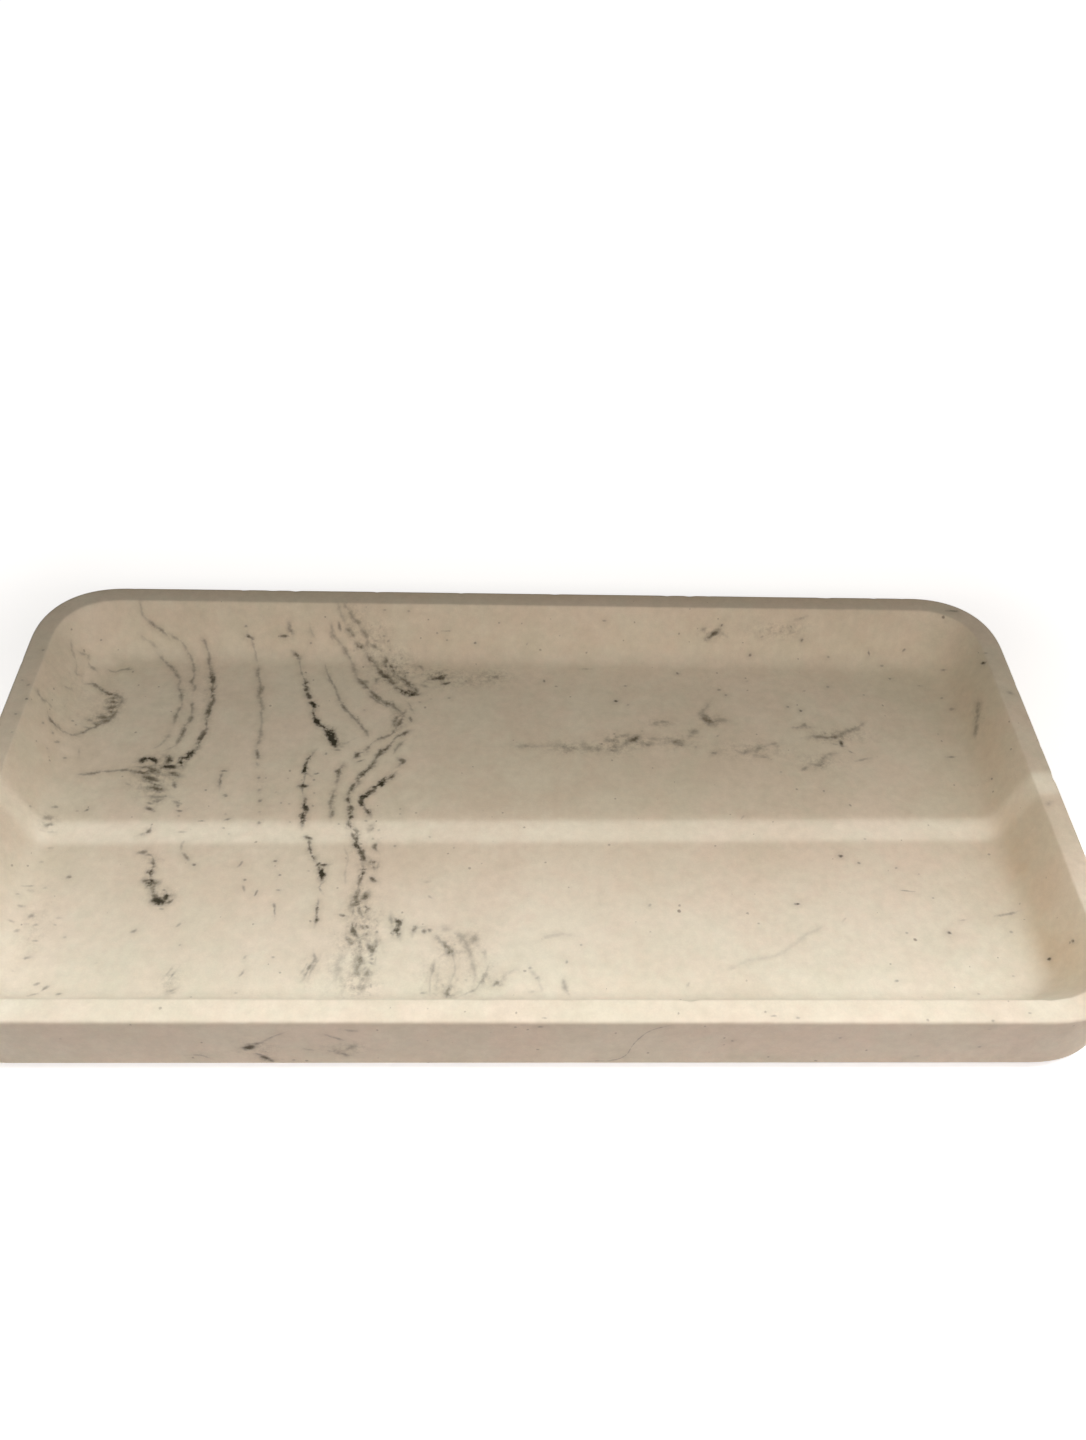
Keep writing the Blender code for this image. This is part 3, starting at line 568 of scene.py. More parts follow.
# Soft grey clouds of fine charcoal: the pixel, radius along the tray and across it (mm), strength
SMUDGES = (
    (395, 672, 6.5, 7.5, 0.80), (376, 645, 5, 8, 0.50), (356, 622, 4, 8, 0.35), (439, 676, 5.5, 3.5, 0.95),
    (397, 722, 2.5, 4.5, 0.65), (491, 677, 6, 3.5, 0.60), (466, 680, 13, 4.5, 0.42),
    (362, 935, 5, 12, 0.55), (358, 912, 4, 8, 0.45), (357, 982, 5, 6, 0.55), (432, 978, 4, 8, 0.25),
    (448, 988, 5, 4, 0.30), (154, 862, 3, 4, 0.35), (160, 896, 4, 3, 0.45), (155, 776, 5.5, 8, 0.70),
    (114, 703, 2.6, 4.5, 1.00), (102, 718, 4, 3, 0.70), (80, 700, 12, 16, 0.16), (262, 790, 2.5, 8, 0.12),
    (570, 747, 10, 3, 0.45), (634, 742, 7, 3, 0.60), (672, 742, 9, 3, 0.45), (711, 720, 3.2, 2.6, 0.80),
    (838, 736, 9, 2.8, 0.60), (530, 746, 6, 1.8, 0.30), (567, 748, 5, 2.2, 0.70),
    (596, 748, 3.5, 2.2, 0.60), (615, 745, 4.5, 4, 0.90), (634, 739, 3, 2.5, 0.50),
    (662, 723, 4, 1.8, 0.55), (677, 742, 3, 1.8, 0.75), (692, 733, 2, 2.5, 0.45), (48, 822, 3.5, 3.5, 0.35),
    (250, 1048, 3, 2.5, 0.45), (268, 1059, 3, 1.5, 0.45), (820, 762, 7, 3, 0.50), (752, 750, 10, 3.5, 0.50),
    (778, 630, 9, 2.8, 0.45), (712, 634, 4, 2, 0.45), (449, 949, 3.5, 5.5, 0.35), (468, 946, 4, 6, 0.32),
    (478, 974, 7, 8, 0.20), (34, 930, 4, 9, 0.20), (47, 818, 4, 3, 0.25), (171, 980, 3, 4, 0.35),
    (341, 955, 4, 12, 0.30), (310, 970, 3, 5, 0.25), (345, 1048, 6, 3, 0.45), (257, 1048, 5, 4, 0.45),
    (977, 716, 2, 6, 0.25), (207, 690, 3, 16, 0.20), (187, 690, 4, 14, 0.14), (358, 850, 3, 8, 0.25),
    (331, 736, 4, 3, 0.25),
)

# Warm tones laid on the stone, as the smudges are written. The first five, along the rear rim and on the
# side walls, stand for shade in the photograph and aren't stains, so they stay brown under other light.
PAINTED_SHADE_AND_WARM_PATCHES = (
    (560, 595, 170, 3.5, 0.70), (30, 680, 5, 50, 0.30), (1025, 860, 6, 30, 1.00), (1055, 950, 6, 26, 1.00),
    (985, 740, 5, 30, 0.60), (228, 888, 16, 9, 0.30), (200, 925, 12, 8, 0.20), (755, 858, 12, 5, 0.24),
    (640, 960, 14, 6, 0.14), (440, 860, 16, 6, 0.15), (900, 960, 16, 6, 0.12), (120, 900, 10, 7, 0.15),
    (300, 830, 10, 5, 0.12),
)


# The studio's lamps. Their powers and tints started from a fit to the photograph's tones and were then set
# one by one, so this isn't plain light: some lamps are tinted, and the tray's rear is far dimmer than its
# front.


class Lamp(NamedTuple):
    """An area lamp and the setting that holds its power. Lengths are in metres, angles in radians."""

    power: str
    place: tuple
    aim: tuple
    size: tuple
    tint: tuple
    spread: float = math.pi
    turn: tuple = ()  # a further turn about X, Y and Z


POOL_HEIGHT = 0.25
POOL_SIZE = (0.9, 0.30)
POOL_LEAN = math.radians(24)  # how far the pools of light come from the right
BAND_TURN = math.radians(0.7)  # how far the streak of light runs off the tray's long side


def pool_lamp(power, rear_edge, tint, spread):
    """A wide lamp whose light ends along rear_edge and leans in from the right."""
    over = (POOL_HEIGHT * math.tan(POOL_LEAN), rear_edge - POOL_SIZE[1] / 2)
    return Lamp(
        power, place=(*over, POOL_HEIGHT), aim=(*over, 0.0), size=POOL_SIZE, tint=tint, spread=spread,
        turn=(0.0, POOL_LEAN, 0.0))


LAMPS = {
    "top_strip": Lamp(
        "top_power", place=(0.035, -0.083, 0.14), aim=(0.035, -0.083, 0.0), size=(0.5, 0.04),
        tint=(1.0, 0.92, 0.82)),
    "front_bounce": Lamp(
        "bounce_power", place=(0.07, -0.30, 0.14), aim=(0.07, -0.01, 0.01), size=(0.8, 0.10),
        tint=(1.0, 0.58, 0.53)),
    "left_top": Lamp(
        "left_power", place=(-0.15, -0.06, 0.17), aim=(-0.15, -0.06, 0.0), size=(0.06, 0.20),
        tint=(0.80, 0.93, 1.0)),
    "right_top": Lamp(
        "right_power", place=(0.19, 0.03, 0.17), aim=(0.16, 0.03, 0.0), size=(0.04, 0.14),
        tint=(1.0, 0.92, 0.90)),
    "side_lamp": Lamp(
        "side_power", place=(1.3, -0.18, 0.74), aim=(0.0, -0.01, 0.01), size=(0.74, 0.74),
        tint=(1.0, 0.92, 0.92)),
    "front_pool": pool_lamp(
        "front_pool_power", rear_edge=-0.035, tint=(0.55, 0.755, 0.91), spread=math.radians(20)),
    "middle_pool": pool_lamp(
        "middle_pool_power", rear_edge=-0.002, tint=(1.0, 0.62, 0.66), spread=math.radians(3)),
    "band": Lamp(
        "band_power", place=(0.0, 0.0612, 0.25), aim=(0.0, -0.0081, 0.0071), size=(0.9, 0.0077),
        tint=(0.84, 0.94, 0.97), spread=math.radians(0.9), turn=(0.0, 0.0, BAND_TURN)),
}


class TraySettings(bpy.types.PropertyGroup):
    """Sizes and colours of the cast tray."""

    rim_width: bpy.props.FloatProperty(
        name="Rim width", description="Width of the flat rim", default=6.5 * MM, unit="LENGTH")
    corner_radius: bpy.props.FloatProperty(
        name="Corner radius", description="Radius of the outer corners", default=26 * MM, unit="LENGTH")
    wall_lean: bpy.props.FloatProperty(
        name="Wall lean", description="How far the outer wall draws in at its foot", default=0.3 * MM,
        unit="LENGTH")
    base_edge_radius: bpy.props.FloatProperty(
        name="Base edge", description="Round of the base's edge", default=1.5 * MM, unit="LENGTH")
    rim_edge_radius: bpy.props.FloatProperty(
        name="Rim edge", description="Round of the rim's edges", default=0.8 * MM, unit="LENGTH")
    hollow_corner_radius: bpy.props.FloatProperty(
        name="Hollow corner", description="Corner radius of the hollow at the rim", default=19 * MM,
        unit="LENGTH")
    hollow_wall_angle: bpy.props.FloatProperty(
        name="Wall angle", description="How far the inner wall leans out from upright",
        default=math.radians(30), subtype="ANGLE")
    floor_thickness: bpy.props.FloatProperty(
        name="Floor thickness", description="Thickness of the floor", default=5 * MM, unit="LENGTH")
    floor_blend_radius: bpy.props.FloatProperty(
        name="Floor blend", description="Round between inner wall and floor", default=7 * MM,
        unit="LENGTH")
    floor_corner_radius: bpy.props.FloatProperty(
        name="Floor corner", description="Corner radius of the flat floor", default=13 * MM,
        unit="LENGTH")
    mesh_step: bpy.props.FloatProperty(
        name="Mesh step", description="Size of the surface mesh's squares", default=1.0 * MM,
        unit="LENGTH")
    waviness: bpy.props.FloatProperty(
        name="Waviness", description="Depth of the casting's slow unevenness", default=0.12 * MM,
        unit="LENGTH")
    chip_depth: bpy.props.FloatProperty(
        name="Chip depth", description="Depth of the deepest chip in the rim's edges",
        default=0.35 * MM, unit="LENGTH")
    chip_count: bpy.props.IntProperty(
        name="Chips", description="How many small chips the rim's edges have", default=70)
    pale_stone: bpy.props.FloatVectorProperty(
        name="Pale stone", description="Lighter tone of the cast stone", subtype="COLOR",
        default=(0.865, 0.81, 0.695))
    deep_stone: bpy.props.FloatVectorProperty(
        name="Deep stone", description="Darker tone of the cast stone", subtype="COLOR",
        default=(0.755, 0.705, 0.585))
    charcoal: bpy.props.FloatVectorProperty(
        name="Charcoal", description="Colour of the veins", subtype="COLOR",
        default=(0.045, 0.041, 0.027))
    haze: bpy.props.FloatVectorProperty(
        name="Haze", description="Colour of the thin charcoal haze round the veins", subtype="COLOR",
        default=(0.35, 0.315, 0.245))
    # The warm colour of the patches and of the painted shade on the rear rim and side walls
    painted_shade_and_patch_colour: bpy.props.FloatVectorProperty(
        name="Stain", description="Colour of the warm stains", subtype="COLOR",
        default=(0.64, 0.49, 0.33))
    pit: bpy.props.FloatVectorProperty(
        name="Pits", description="Colour inside the small pits", subtype="COLOR",
        default=(0.22, 0.18, 0.13))


class PadSettings(bpy.types.PropertyGroup):
    """Sizes and colours of the stick-on pads."""

    rubber: bpy.props.FloatVectorProperty(
        name="Rubber", description="Colour of the pads", subtype="COLOR", default=(0.42, 0.41, 0.38))
    film: bpy.props.FloatVectorProperty(
        name="Film", description="Colour of the adhesive film", subtype="COLOR",
        default=(0.62, 0.60, 0.54))
    film_margin: bpy.props.FloatProperty(
        name="Film margin", description="How far the film stays inside the pad's edge",
        default=0.3 * MM, unit="LENGTH")
    film_gap: bpy.props.FloatProperty(
        name="Film gap", description="Air left above and below the film", default=0.04 * MM,
        unit="LENGTH")


class StageSettings(bpy.types.PropertyGroup):
    """Light and background of the studio."""

    background: bpy.props.FloatVectorProperty(
        name="Background", description="Colour of the floor and the world behind it",
        subtype="COLOR", default=(1.0, 1.0, 1.0))
    ambient: bpy.props.FloatVectorProperty(
        name="Ambient", description="Strength of the even light from all round, for each colour",
        subtype="COLOR", default=(0.098, 0.084, 0.064))
    floor_tone: bpy.props.FloatProperty(
        name="Floor tone", description="How pale the studio's floor is", default=0.8)
    floor_glow: bpy.props.FloatProperty(
        name="Floor glow", description="How bright the floor shows beside the tray, before the lamps",
        default=0.72)
    far_glow: bpy.props.FloatProperty(
        name="Far glow", description="How bright the floor shows far from the tray, before the lamps",
        default=0.97)
    glow_reach: bpy.props.FloatProperty(
        name="Glow reach", description="Distance from the tray over which the floor's glow rises",
        default=90 * MM, unit="LENGTH")
    top_power: bpy.props.FloatProperty(
        name="Top power", description="Power of the strip lamp over the tray's front", default=0.275,
        unit="POWER")
    bounce_power: bpy.props.FloatProperty(
        name="Bounce power", description="Power of the warm low lamp before the tray", default=0.156,
        unit="POWER")
    left_power: bpy.props.FloatProperty(
        name="Left power", description="Power of the small lamp over the tray's left end", default=0.022,
        unit="POWER")
    right_power: bpy.props.FloatProperty(
        name="Right power", description="Power of the small lamp over the tray's right end", default=0.005,
        unit="POWER")
    side_power: bpy.props.FloatProperty(
        name="Side power", description="Power of the lamp to the right", default=2.0,
        unit="POWER")
    front_pool_power: bpy.props.FloatProperty(
        name="Front pool power", description="Power of the light that falls off along the tray's front",
        default=0.225, unit="POWER")
    middle_pool_power: bpy.props.FloatProperty(
        name="Middle pool power", description="Power of the light that stops along the tray's middle",
        default=0.050, unit="POWER")
    band_power: bpy.props.FloatProperty(
        name="Band power", description="Power of the narrow streak of light along the tray",
        default=0.0044, unit="POWER")


# Node wiring


class Bench:
    """Adds nodes to one shader tree and wires or sets their inputs."""

    def __init__(self, tree):
        self.tree = tree

    def feed(self, socket, value):
        if isinstance(value, bpy.types.NodeSocket):
            self.tree.links.new(value, socket)
        else:
            socket.default_value = value

    def add(self, kind, *values, **settings):
        """A node of this kind with its settings, and its first inputs fed in order; None skips one."""
        node = self.tree.nodes.new(kind)
        for name, setting in settings.items():
            setattr(node, name, setting)
        for socket, value in zip(node.inputs, values):
            if value is not None:
                self.feed(socket, value)
        return node

    def math(self, operation, *values, clamp=False):
        return self.add("ShaderNodeMath", *values, operation=operation, use_clamp=clamp).outputs[0]

    def vector(self, operation, *values):
        node = self.add("ShaderNodeVectorMath", *values, operation=operation)
        return node.outputs["Value" if operation == "LENGTH" else "Vector"]

    def split(self, vector):
        return self.add("ShaderNodeSeparateXYZ", vector).outputs

    def join(self, *values):
        return self.add("ShaderNodeCombineXYZ", *values).outputs[0]

    def cloud(self, place, scale, detail, roughness):
        """The outputs of a noise texture."""
        node = self.add("ShaderNodeTexNoise")
        self.feed(node.inputs["Vector"], place)
        self.feed(node.inputs["Scale"], scale)
        self.feed(node.inputs["Detail"], detail)
        self.feed(node.inputs["Roughness"], roughness)
        return node.outputs

    def noise(self, place, scale, detail=2.0, roughness=0.5):
        """Noise from about 0.25 to 0.75."""
        return self.cloud(place, scale, detail, roughness)["Fac"]

    def swing(self, place, scale, reach, detail=2.0, roughness=0.5):
        """Noise that swings to both sides of zero by about this reach."""
        centred = self.math("SUBTRACT", self.noise(place, scale, detail, roughness), 0.5)
        return self.math("MULTIPLY", centred, 4 * reach)

    def pushed(self, place, scale, reach, detail=2.0):
        """The place, pushed aside by noise of this scale by up to this reach."""
        push = self.cloud(place, scale, detail, 0.5)["Color"]
        return self.vector("ADD", place, self.vector("MULTIPLY", push, (reach, reach, reach)))

    def ease(self, value, start, end, low=0.0, high=1.0):
        """Goes smoothly from low to high as value goes from start to end."""
        node = self.add("ShaderNodeMapRange", value, start, end, low, high, interpolation_type="SMOOTHSTEP")
        return node.outputs["Result"]

    def mix(self, share, first, second, blend_type="MIX"):
        node = self.add("ShaderNodeMix", data_type="RGBA", blend_type=blend_type)
        self.feed(node.inputs["Factor"], share)
        self.feed(node.inputs[6], first)
        self.feed(node.inputs[7], second)
        return node.outputs[2]

    def attribute(self, name, output):
        return self.add("ShaderNodeAttribute", attribute_name=name).outputs[output]

    def group(self, tree, **values):
        node = self.add("ShaderNodeGroup", node_tree=tree)
        for name, value in values.items():
            self.feed(node.inputs[name.capitalize()], value)
        return node.outputs


def colour(value):
    return (*value, 1.0)


def new_group(name, inputs, outputs):
    """An empty shader group with these sockets, its bench, its inputs and its output node."""
    tree = bpy.data.node_groups.new(name, "ShaderNodeTree")
    for direction, sockets in (("INPUT", inputs), ("OUTPUT", outputs)):
        for socket_name, kind in sockets.items():
            tree.interface.new_socket(socket_name, in_out=direction, socket_type=f"NodeSocket{kind}")
    bench = Bench(tree)
    return tree, bench, bench.add("NodeGroupInput").outputs, bench.add("NodeGroupOutput").inputs


def line_group():
    """One layer of veins. Line holds half widths across the vein and its strength."""
    tree, bench, given, out = new_group(
        "Charcoal line", {"Line": "Vector", "Wander": "Float", "Crumble": "Float"}, {"Ink": "Float"})
    across, strength, _ = bench.split(given["Line"])
    bent = bench.math("ABSOLUTE", bench.math("MULTIPLY_ADD", given["Wander"], 0.5, across))
    firm = bench.math("MULTIPLY_ADD", strength, 0.75, 0.3, clamp=True)
    rough = bench.math("MULTIPLY", given["Crumble"], firm)
    solid = bench.math("ADD", rough, bench.math("SUBTRACT", 1.35, bent))
    softness = bench.math("MULTIPLY_ADD", strength, -0.7, 2.3)  # a pale vein has softer edges
    bench.feed(out["Ink"], bench.math("MULTIPLY", bench.ease(solid, -0.2, softness), strength))
    return tree


def mark_group():
    """One layer of single marks. Mark holds half lengths along, half widths across, and strength."""
    tree, bench, given, out = new_group(
        "Charcoal mark", {"Mark": "Vector", "Wander": "Float", "Crumble": "Float"}, {"Ink": "Float"})
    along, across, strength = bench.split(given["Mark"])
    away = bench.vector("LENGTH", bench.join(along, across, 0.0))
    solid = bench.math("MULTIPLY_ADD", given["Crumble"], 0.45, bench.math("SUBTRACT", 1.3, away))
    solid = bench.math("MULTIPLY_ADD", given["Wander"], 0.2, solid)
    softness = bench.math("MULTIPLY_ADD", strength, -0.6, 1.8)
    bench.feed(out["Ink"], bench.math("MULTIPLY", bench.ease(solid, -0.1, softness), strength))
    return tree


def wild_group():
    """Marbling for the sides that the photo hides: drawn-out charcoal lines where a slow cloud lets them."""
    tree, bench, given, out = new_group(
        "Wild marbling", {"Place": "Vector", "Crumble": "Float"}, {"Ink": "Float", "Haze": "Float"})
    height = bench.split(given["Place"])["Z"]
    leaning = bench.join(bench.math("MULTIPLY", height, 0.9), bench.math("MULTIPLY", height, 0.7), 0.0)
    stretched = bench.vector("ADD", bench.vector("MULTIPLY", given["Place"], (1.0, 1.0, 0.45)), leaning)
    field = bench.noise(bench.pushed(stretched, 16.0, 35 * MM, detail=3.0), 24.0, detail=1.5)
    line = bench.math("ABSOLUTE", bench.math("SUBTRACT", field, 0.5))
    cloud = bench.ease(bench.noise(given["Place"], 11.0, detail=1.0), 0.53, 0.66)
    solid = bench.math("MULTIPLY_ADD", line, -55.0, 0.55)
    solid = bench.math("MULTIPLY_ADD", given["Crumble"], 0.9, solid)
    bench.feed(out["Ink"], bench.math("MULTIPLY", bench.ease(solid, 0.0, 0.9), cloud))
    bench.feed(out["Haze"], bench.math("MULTIPLY", bench.ease(line, 0.05, 0.0), cloud))
    return tree


def grain_group():
    """Fine grain of a cast or moulded surface: a tone round zero, and a height."""
    tree, bench, given, out = new_group(
        "Fine grain",
        {"Place": "Vector", "Scale": "Float", "Amount": "Float"},
        {"Tone": "Float", "Height": "Float"},
    )
    fine = bench.noise(given["Place"], given["Scale"], detail=3.0, roughness=0.65)
    coarse = bench.noise(given["Place"], bench.math("MULTIPLY", given["Scale"], 0.22), detail=2.0)
    both = bench.math("MULTIPLY_ADD", coarse, 0.5, bench.math("MULTIPLY", fine, 0.5))
    tone = bench.math("SUBTRACT", both, 0.5)
    bench.feed(out["Tone"], bench.math("MULTIPLY", tone, given["Amount"]))
    bench.feed(out["Height"], both)
    return tree


def pit_group():
    """Small scattered pits: where they are, from 0 to 1."""
    tree, bench, given, out = new_group(
        "Scattered pits",
        {"Place": "Vector", "Scale": "Float", "Share": "Float", "Radius": "Float"},
        {"Pit": "Float"},
    )
    cells = bench.add("ShaderNodeTexVoronoi", feature="F1")
    bench.feed(cells.inputs["Vector"], bench.pushed(given["Place"], 900.0, 0.6 * MM))
    bench.feed(cells.inputs["Scale"], given["Scale"])
    pick, size, _ = bench.split(cells.outputs["Color"])
    radius = bench.math("MULTIPLY", given["Radius"], bench.math("MULTIPLY_ADD", size, 0.8, 0.35))
    hole = bench.ease(cells.outputs["Distance"], radius, bench.math("MULTIPLY", radius, 0.45))
    chosen = bench.math("LESS_THAN", pick, given["Share"])
    bench.feed(out["Pit"], bench.math("MULTIPLY", hole, chosen))
    return tree


def new_material(name, roughness, level):
    """A material with its Principled BSDF, and a bench for its nodes."""
    made = bpy.data.materials.new(name)
    made.use_nodes = True
    shader = made.node_tree.nodes["Principled BSDF"]
    shader.inputs["Roughness"].default_value = roughness
    shader.inputs["Specular IOR Level"].default_value = level
    return made, shader, Bench(made.node_tree)


def marbling(bench, place):
    """Ink and haze of the charcoal: the photo's veins and marks, and wild ones on the hidden sides."""
    wander = bench.swing(place, WANDER_SCALE, 0.7)
    clots = bench.swing(place, CLOT_SCALE, 1.2)
    crumble = bench.math("ADD", bench.swing(place, CRUMBLE_SCALE, 0.6, detail=3.0, roughness=0.7), clots)
    lines, marks = line_group(), mark_group()
    layers = [
        bench.group(lines, line=bench.attribute(f"line_{layer}", "Vector"), wander=wander, crumble=crumble)
        for layer in range(LINE_LAYERS)
    ]
    layers += [
        bench.group(marks, mark=bench.attribute(f"mark_{layer}", "Vector"), wander=wander, crumble=crumble)
        for layer in range(MARK_LAYERS)
    ]
    ink = layers[0]["Ink"]
    for layer in layers[1:]:
        ink = bench.math("MAXIMUM", ink, layer["Ink"])
    haze = bench.math("MULTIPLY", bench.attribute("haze", "Fac"), bench.ease(clots, -1.1, 1.1, 0.35, 1.0))
    hidden = bench.attribute("hidden_side", "Fac")
    wild = bench.group(wild_group(), place=place, crumble=crumble)
    wild_ink = bench.math("MULTIPLY", wild["Ink"], bench.math("MULTIPLY", hidden, WILD_INK_SHARE))
    wild_haze = bench.math("MULTIPLY", wild["Haze"], bench.math("MULTIPLY", hidden, WILD_HAZE_SHARE))
    return bench.math("MAXIMUM", ink, wild_ink), bench.math("MAXIMUM", haze, wild_haze)


def charcoal_dust(bench, place):
    """The smudges: fine dust, and the dark specks in it."""
    smudge = bench.attribute("smudge", "Fac")
    powder = bench.noise(place, DUST_SCALE, detail=4.0, roughness=0.7)
    dust = bench.math("MULTIPLY", smudge, bench.ease(powder, 0.40, 0.62))
    specks = bench.math("MULTIPLY", smudge, SPECK_SHARE)
    return dust, bench.math("MULTIPLY", bench.ease(powder, 0.60, 0.72), specks)


def bare_stone(bench, place, middling, tray):
    """The stone without charcoal: deep to pale tones, a slow hue change, warm patches and painted shade."""
    slow = bench.noise(place, SLOW_TONE_SCALE, detail=3.0)
    blotch = bench.noise(place, BLOTCH_SCALE, detail=3.0, roughness=0.6)
    tone = bench.math("MULTIPLY_ADD", slow, 0.4, bench.math("MULTIPLY", blotch, 0.25))
    tone = bench.math("MULTIPLY_ADD", middling, 0.35, tone)
    stone = bench.mix(bench.ease(tone, 0.34, 0.66), colour(tray.deep_stone), colour(tray.pale_stone))
    turn = bench.ease(bench.noise(place, HUE_SCALE, detail=4.0, roughness=0.65), 0.35, 0.65)
    stone = bench.mix(1.0, stone, bench.mix(turn, PINK_HUE, GREEN_HUE), "MULTIPLY")
    cloudy = bench.ease(middling, 0.35, 0.65, 0.5, 1.0)
    # Painted shade on the rear rim and side walls, and warm patches
    blush = bench.math("MULTIPLY", bench.attribute("blush", "Fac"), cloudy)
    patch = bench.ease(bench.noise(place, PATCH_SCALE, detail=5.0, roughness=0.62), 0.54, 0.68)
    blush = bench.math("MAXIMUM", blush, bench.math("MULTIPLY", patch, PATCH_SHARE))
    return bench.mix(bench.math("MULTIPLY", blush, PAINTED_SHADE_AND_PATCH_SHARE), stone, colour(tray.painted_shade_and_patch_colour))


def roughen(bench, shader, height, size):
    """Gives the surface a height through a Bump node, whose strength and distance are its size."""
    bump = bench.add("ShaderNodeBump")
    bump.inputs["Strength"].default_value, bump.inputs["Distance"].default_value = size
    bench.feed(bump.inputs["Height"], height)
    bench.feed(shader.inputs["Normal"], bump.outputs["Normal"])


def cast_stone_material(tray):
    """Warm cream cast stone with charcoal veins, haze, warm patches, painted shade, specks and pits."""
    made, shader, bench = new_material("cast_stone", STONE_ROUGHNESS, level=0.12)
    place = bench.add("ShaderNodeTexCoord").outputs["Object"]
    ink, haze = marbling(bench, place)
    dust, specks = charcoal_dust(bench, place)
    ink = bench.math("MAXIMUM", ink, specks)
    middling = bench.noise(place, TONE_SCALE, detail=3.0, roughness=0.6)
    stone = bare_stone(bench, place, middling, tray)
    grain = bench.group(grain_group(), place=place, scale=STONE_GRAIN_SCALE, amount=0.28)
    speckle = bench.math("ADD", grain["Tone"], 1.0)
    stone = bench.mix(1.0, stone, bench.join(speckle, speckle, speckle), "MULTIPLY")
    hazy = bench.math("MULTIPLY_ADD", dust, DUST_SHARE, bench.math("MULTIPLY", haze, HAZE_SHARE), clamp=True)
    stone = bench.mix(hazy, stone, colour(tray.haze))

    pits = pit_group()
    small = bench.group(pits, place=place, scale=SMALL_PIT_SCALE, share=0.2, radius=0.16)["Pit"]
    large = bench.group(pits, place=place, scale=LARGE_PIT_SCALE, share=0.12, radius=0.075)["Pit"]
    small = bench.math("MULTIPLY", small, SMALL_PIT_SHARE)
    hole = bench.math("MAXIMUM", small, bench.math("MULTIPLY", large, LARGE_PIT_SHARE))
    stone = bench.mix(hole, stone, colour(tray.pit))
    stone = bench.mix(bench.math("MULTIPLY", ink, INK_SHARE, clamp=True), stone, colour(tray.charcoal))
    bench.feed(shader.inputs["Base Color"], stone)

    roughness = bench.math("MULTIPLY_ADD", middling, 0.18, 0.50)
    bench.feed(shader.inputs["Roughness"], bench.math("MULTIPLY_ADD", ink, 0.12, roughness))
    roughen(bench, shader, bench.math("MULTIPLY_ADD", hole, PIT_RISE, grain["Height"]), STONE_BUMP)
    return made


def rubber_material(name, tone, roughness):
    """Matt moulded rubber or film with a fine grain."""
    made, shader, bench = new_material(name, roughness, level=0.4)
    place = bench.add("ShaderNodeTexCoord").outputs["Object"]
    grain = bench.group(
        bpy.data.node_groups["Fine grain"], place=place, scale=RUBBER_GRAIN_SCALE, amount=0.5)
    cloudy = bench.noise(place, RUBBER_CLOUD_SCALE, detail=3.0)
    shade = bench.math("ADD", grain["Tone"], bench.ease(cloudy, 0.3, 0.7, 0.9, 1.06))
    shaded = bench.mix(1.0, colour(tone), bench.join(shade, shade, shade), "MULTIPLY")
    bench.feed(shader.inputs["Base Color"], shaded)
    bench.feed(shader.inputs["Roughness"], bench.ease(cloudy, 0.3, 0.7, roughness - 0.06, roughness + 0.06))
    roughen(bench, shader, grain["Height"], RUBBER_BUMP)
    return made


# The tray's mesh


class Seat(NamedTuple):
    """Where a point lies round the tray, whatever the size of the outline that it is on."""

    side: Vector  # -1 or 1 along X and along Y
    straight: Vector  # share of the straight stretches
    turned: Vector  # share of the corner's curve


def turns(start, end, steps):
    """Angles from start to end, both kept."""
    return [start + (end - start) * step / steps for step in range(steps + 1)]


def between(first, last, step):
    """Courses after first up to and including last, at about this step along the section."""
    pieces = max(1, math.ceil(math.dist(first[:2], last[:2]) / step))
    return [
        tuple(a + (b - a) * piece / pieces for a, b in zip(first, last)) for piece in range(1, pieces + 1)
    ]


def hollow_sections(tray):
    """(inset, height, corner) from the floor's edge up the inner wall to the rim."""
    wall_turn = QUARTER_TURN - tray.hollow_wall_angle
    depth = TRAY_HEIGHT - tray.floor_thickness
    blend, edge = tray.floor_blend_radius, tray.rim_edge_radius
    floor_inset = tray.rim_width + depth * math.tan(tray.hollow_wall_angle) + blend * math.tan(wall_turn / 2)
    edge_inset = tray.rim_width - edge * math.tan(wall_turn / 2)
    steps = math.ceil(blend * wall_turn / tray.mesh_step)
    sections = [
        (floor_inset - blend * math.sin(turn), tray.floor_thickness + blend * (1 - math.cos(turn)))
        for turn in turns(0, wall_turn, steps)
    ]
    sections += [
        (edge_inset + edge * math.sin(turn), TRAY_HEIGHT - edge * (1 - math.cos(turn)))
        for turn in turns(wall_turn, 0, EDGE_STEPS)
    ]
    courses = []
    for inset, height in sections:
        way_in = (inset - tray.rim_width) / (floor_inset - tray.rim_width)
        corner = tray.hollow_corner_radius + way_in * (tray.floor_corner_radius - tray.hollow_corner_radius)
        courses.append((inset, height, corner))
    return courses


def outer_sections(tray):
    """(inset, height, corner) from the rim's outer edge down to the base."""
    edge, base = tray.rim_edge_radius, tray.base_edge_radius
    sections = [
        (edge * (1 - math.sin(turn)), TRAY_HEIGHT - edge * (1 - math.cos(turn)))
        for turn in turns(0, QUARTER_TURN, EDGE_STEPS)
    ]
    sections += [
        (tray.wall_lean + base * (1 - math.cos(turn)), base * (1 - math.sin(turn)))
        for turn in turns(0, QUARTER_TURN, EDGE_STEPS)
    ]
    return [(inset, height, tray.corner_radius - inset) for inset, height in sections]


def tray_courses(tray):
    """All courses from the floor's edge, over the rim and down to the base, finely divided."""
    rough = hollow_sections(tray) + outer_sections(tray)
    courses = [rough[0]]
    for course in rough[1:]:
        courses += between(courses[-1], course, tray.mesh_step * COURSE_STRETCH)
    return courses


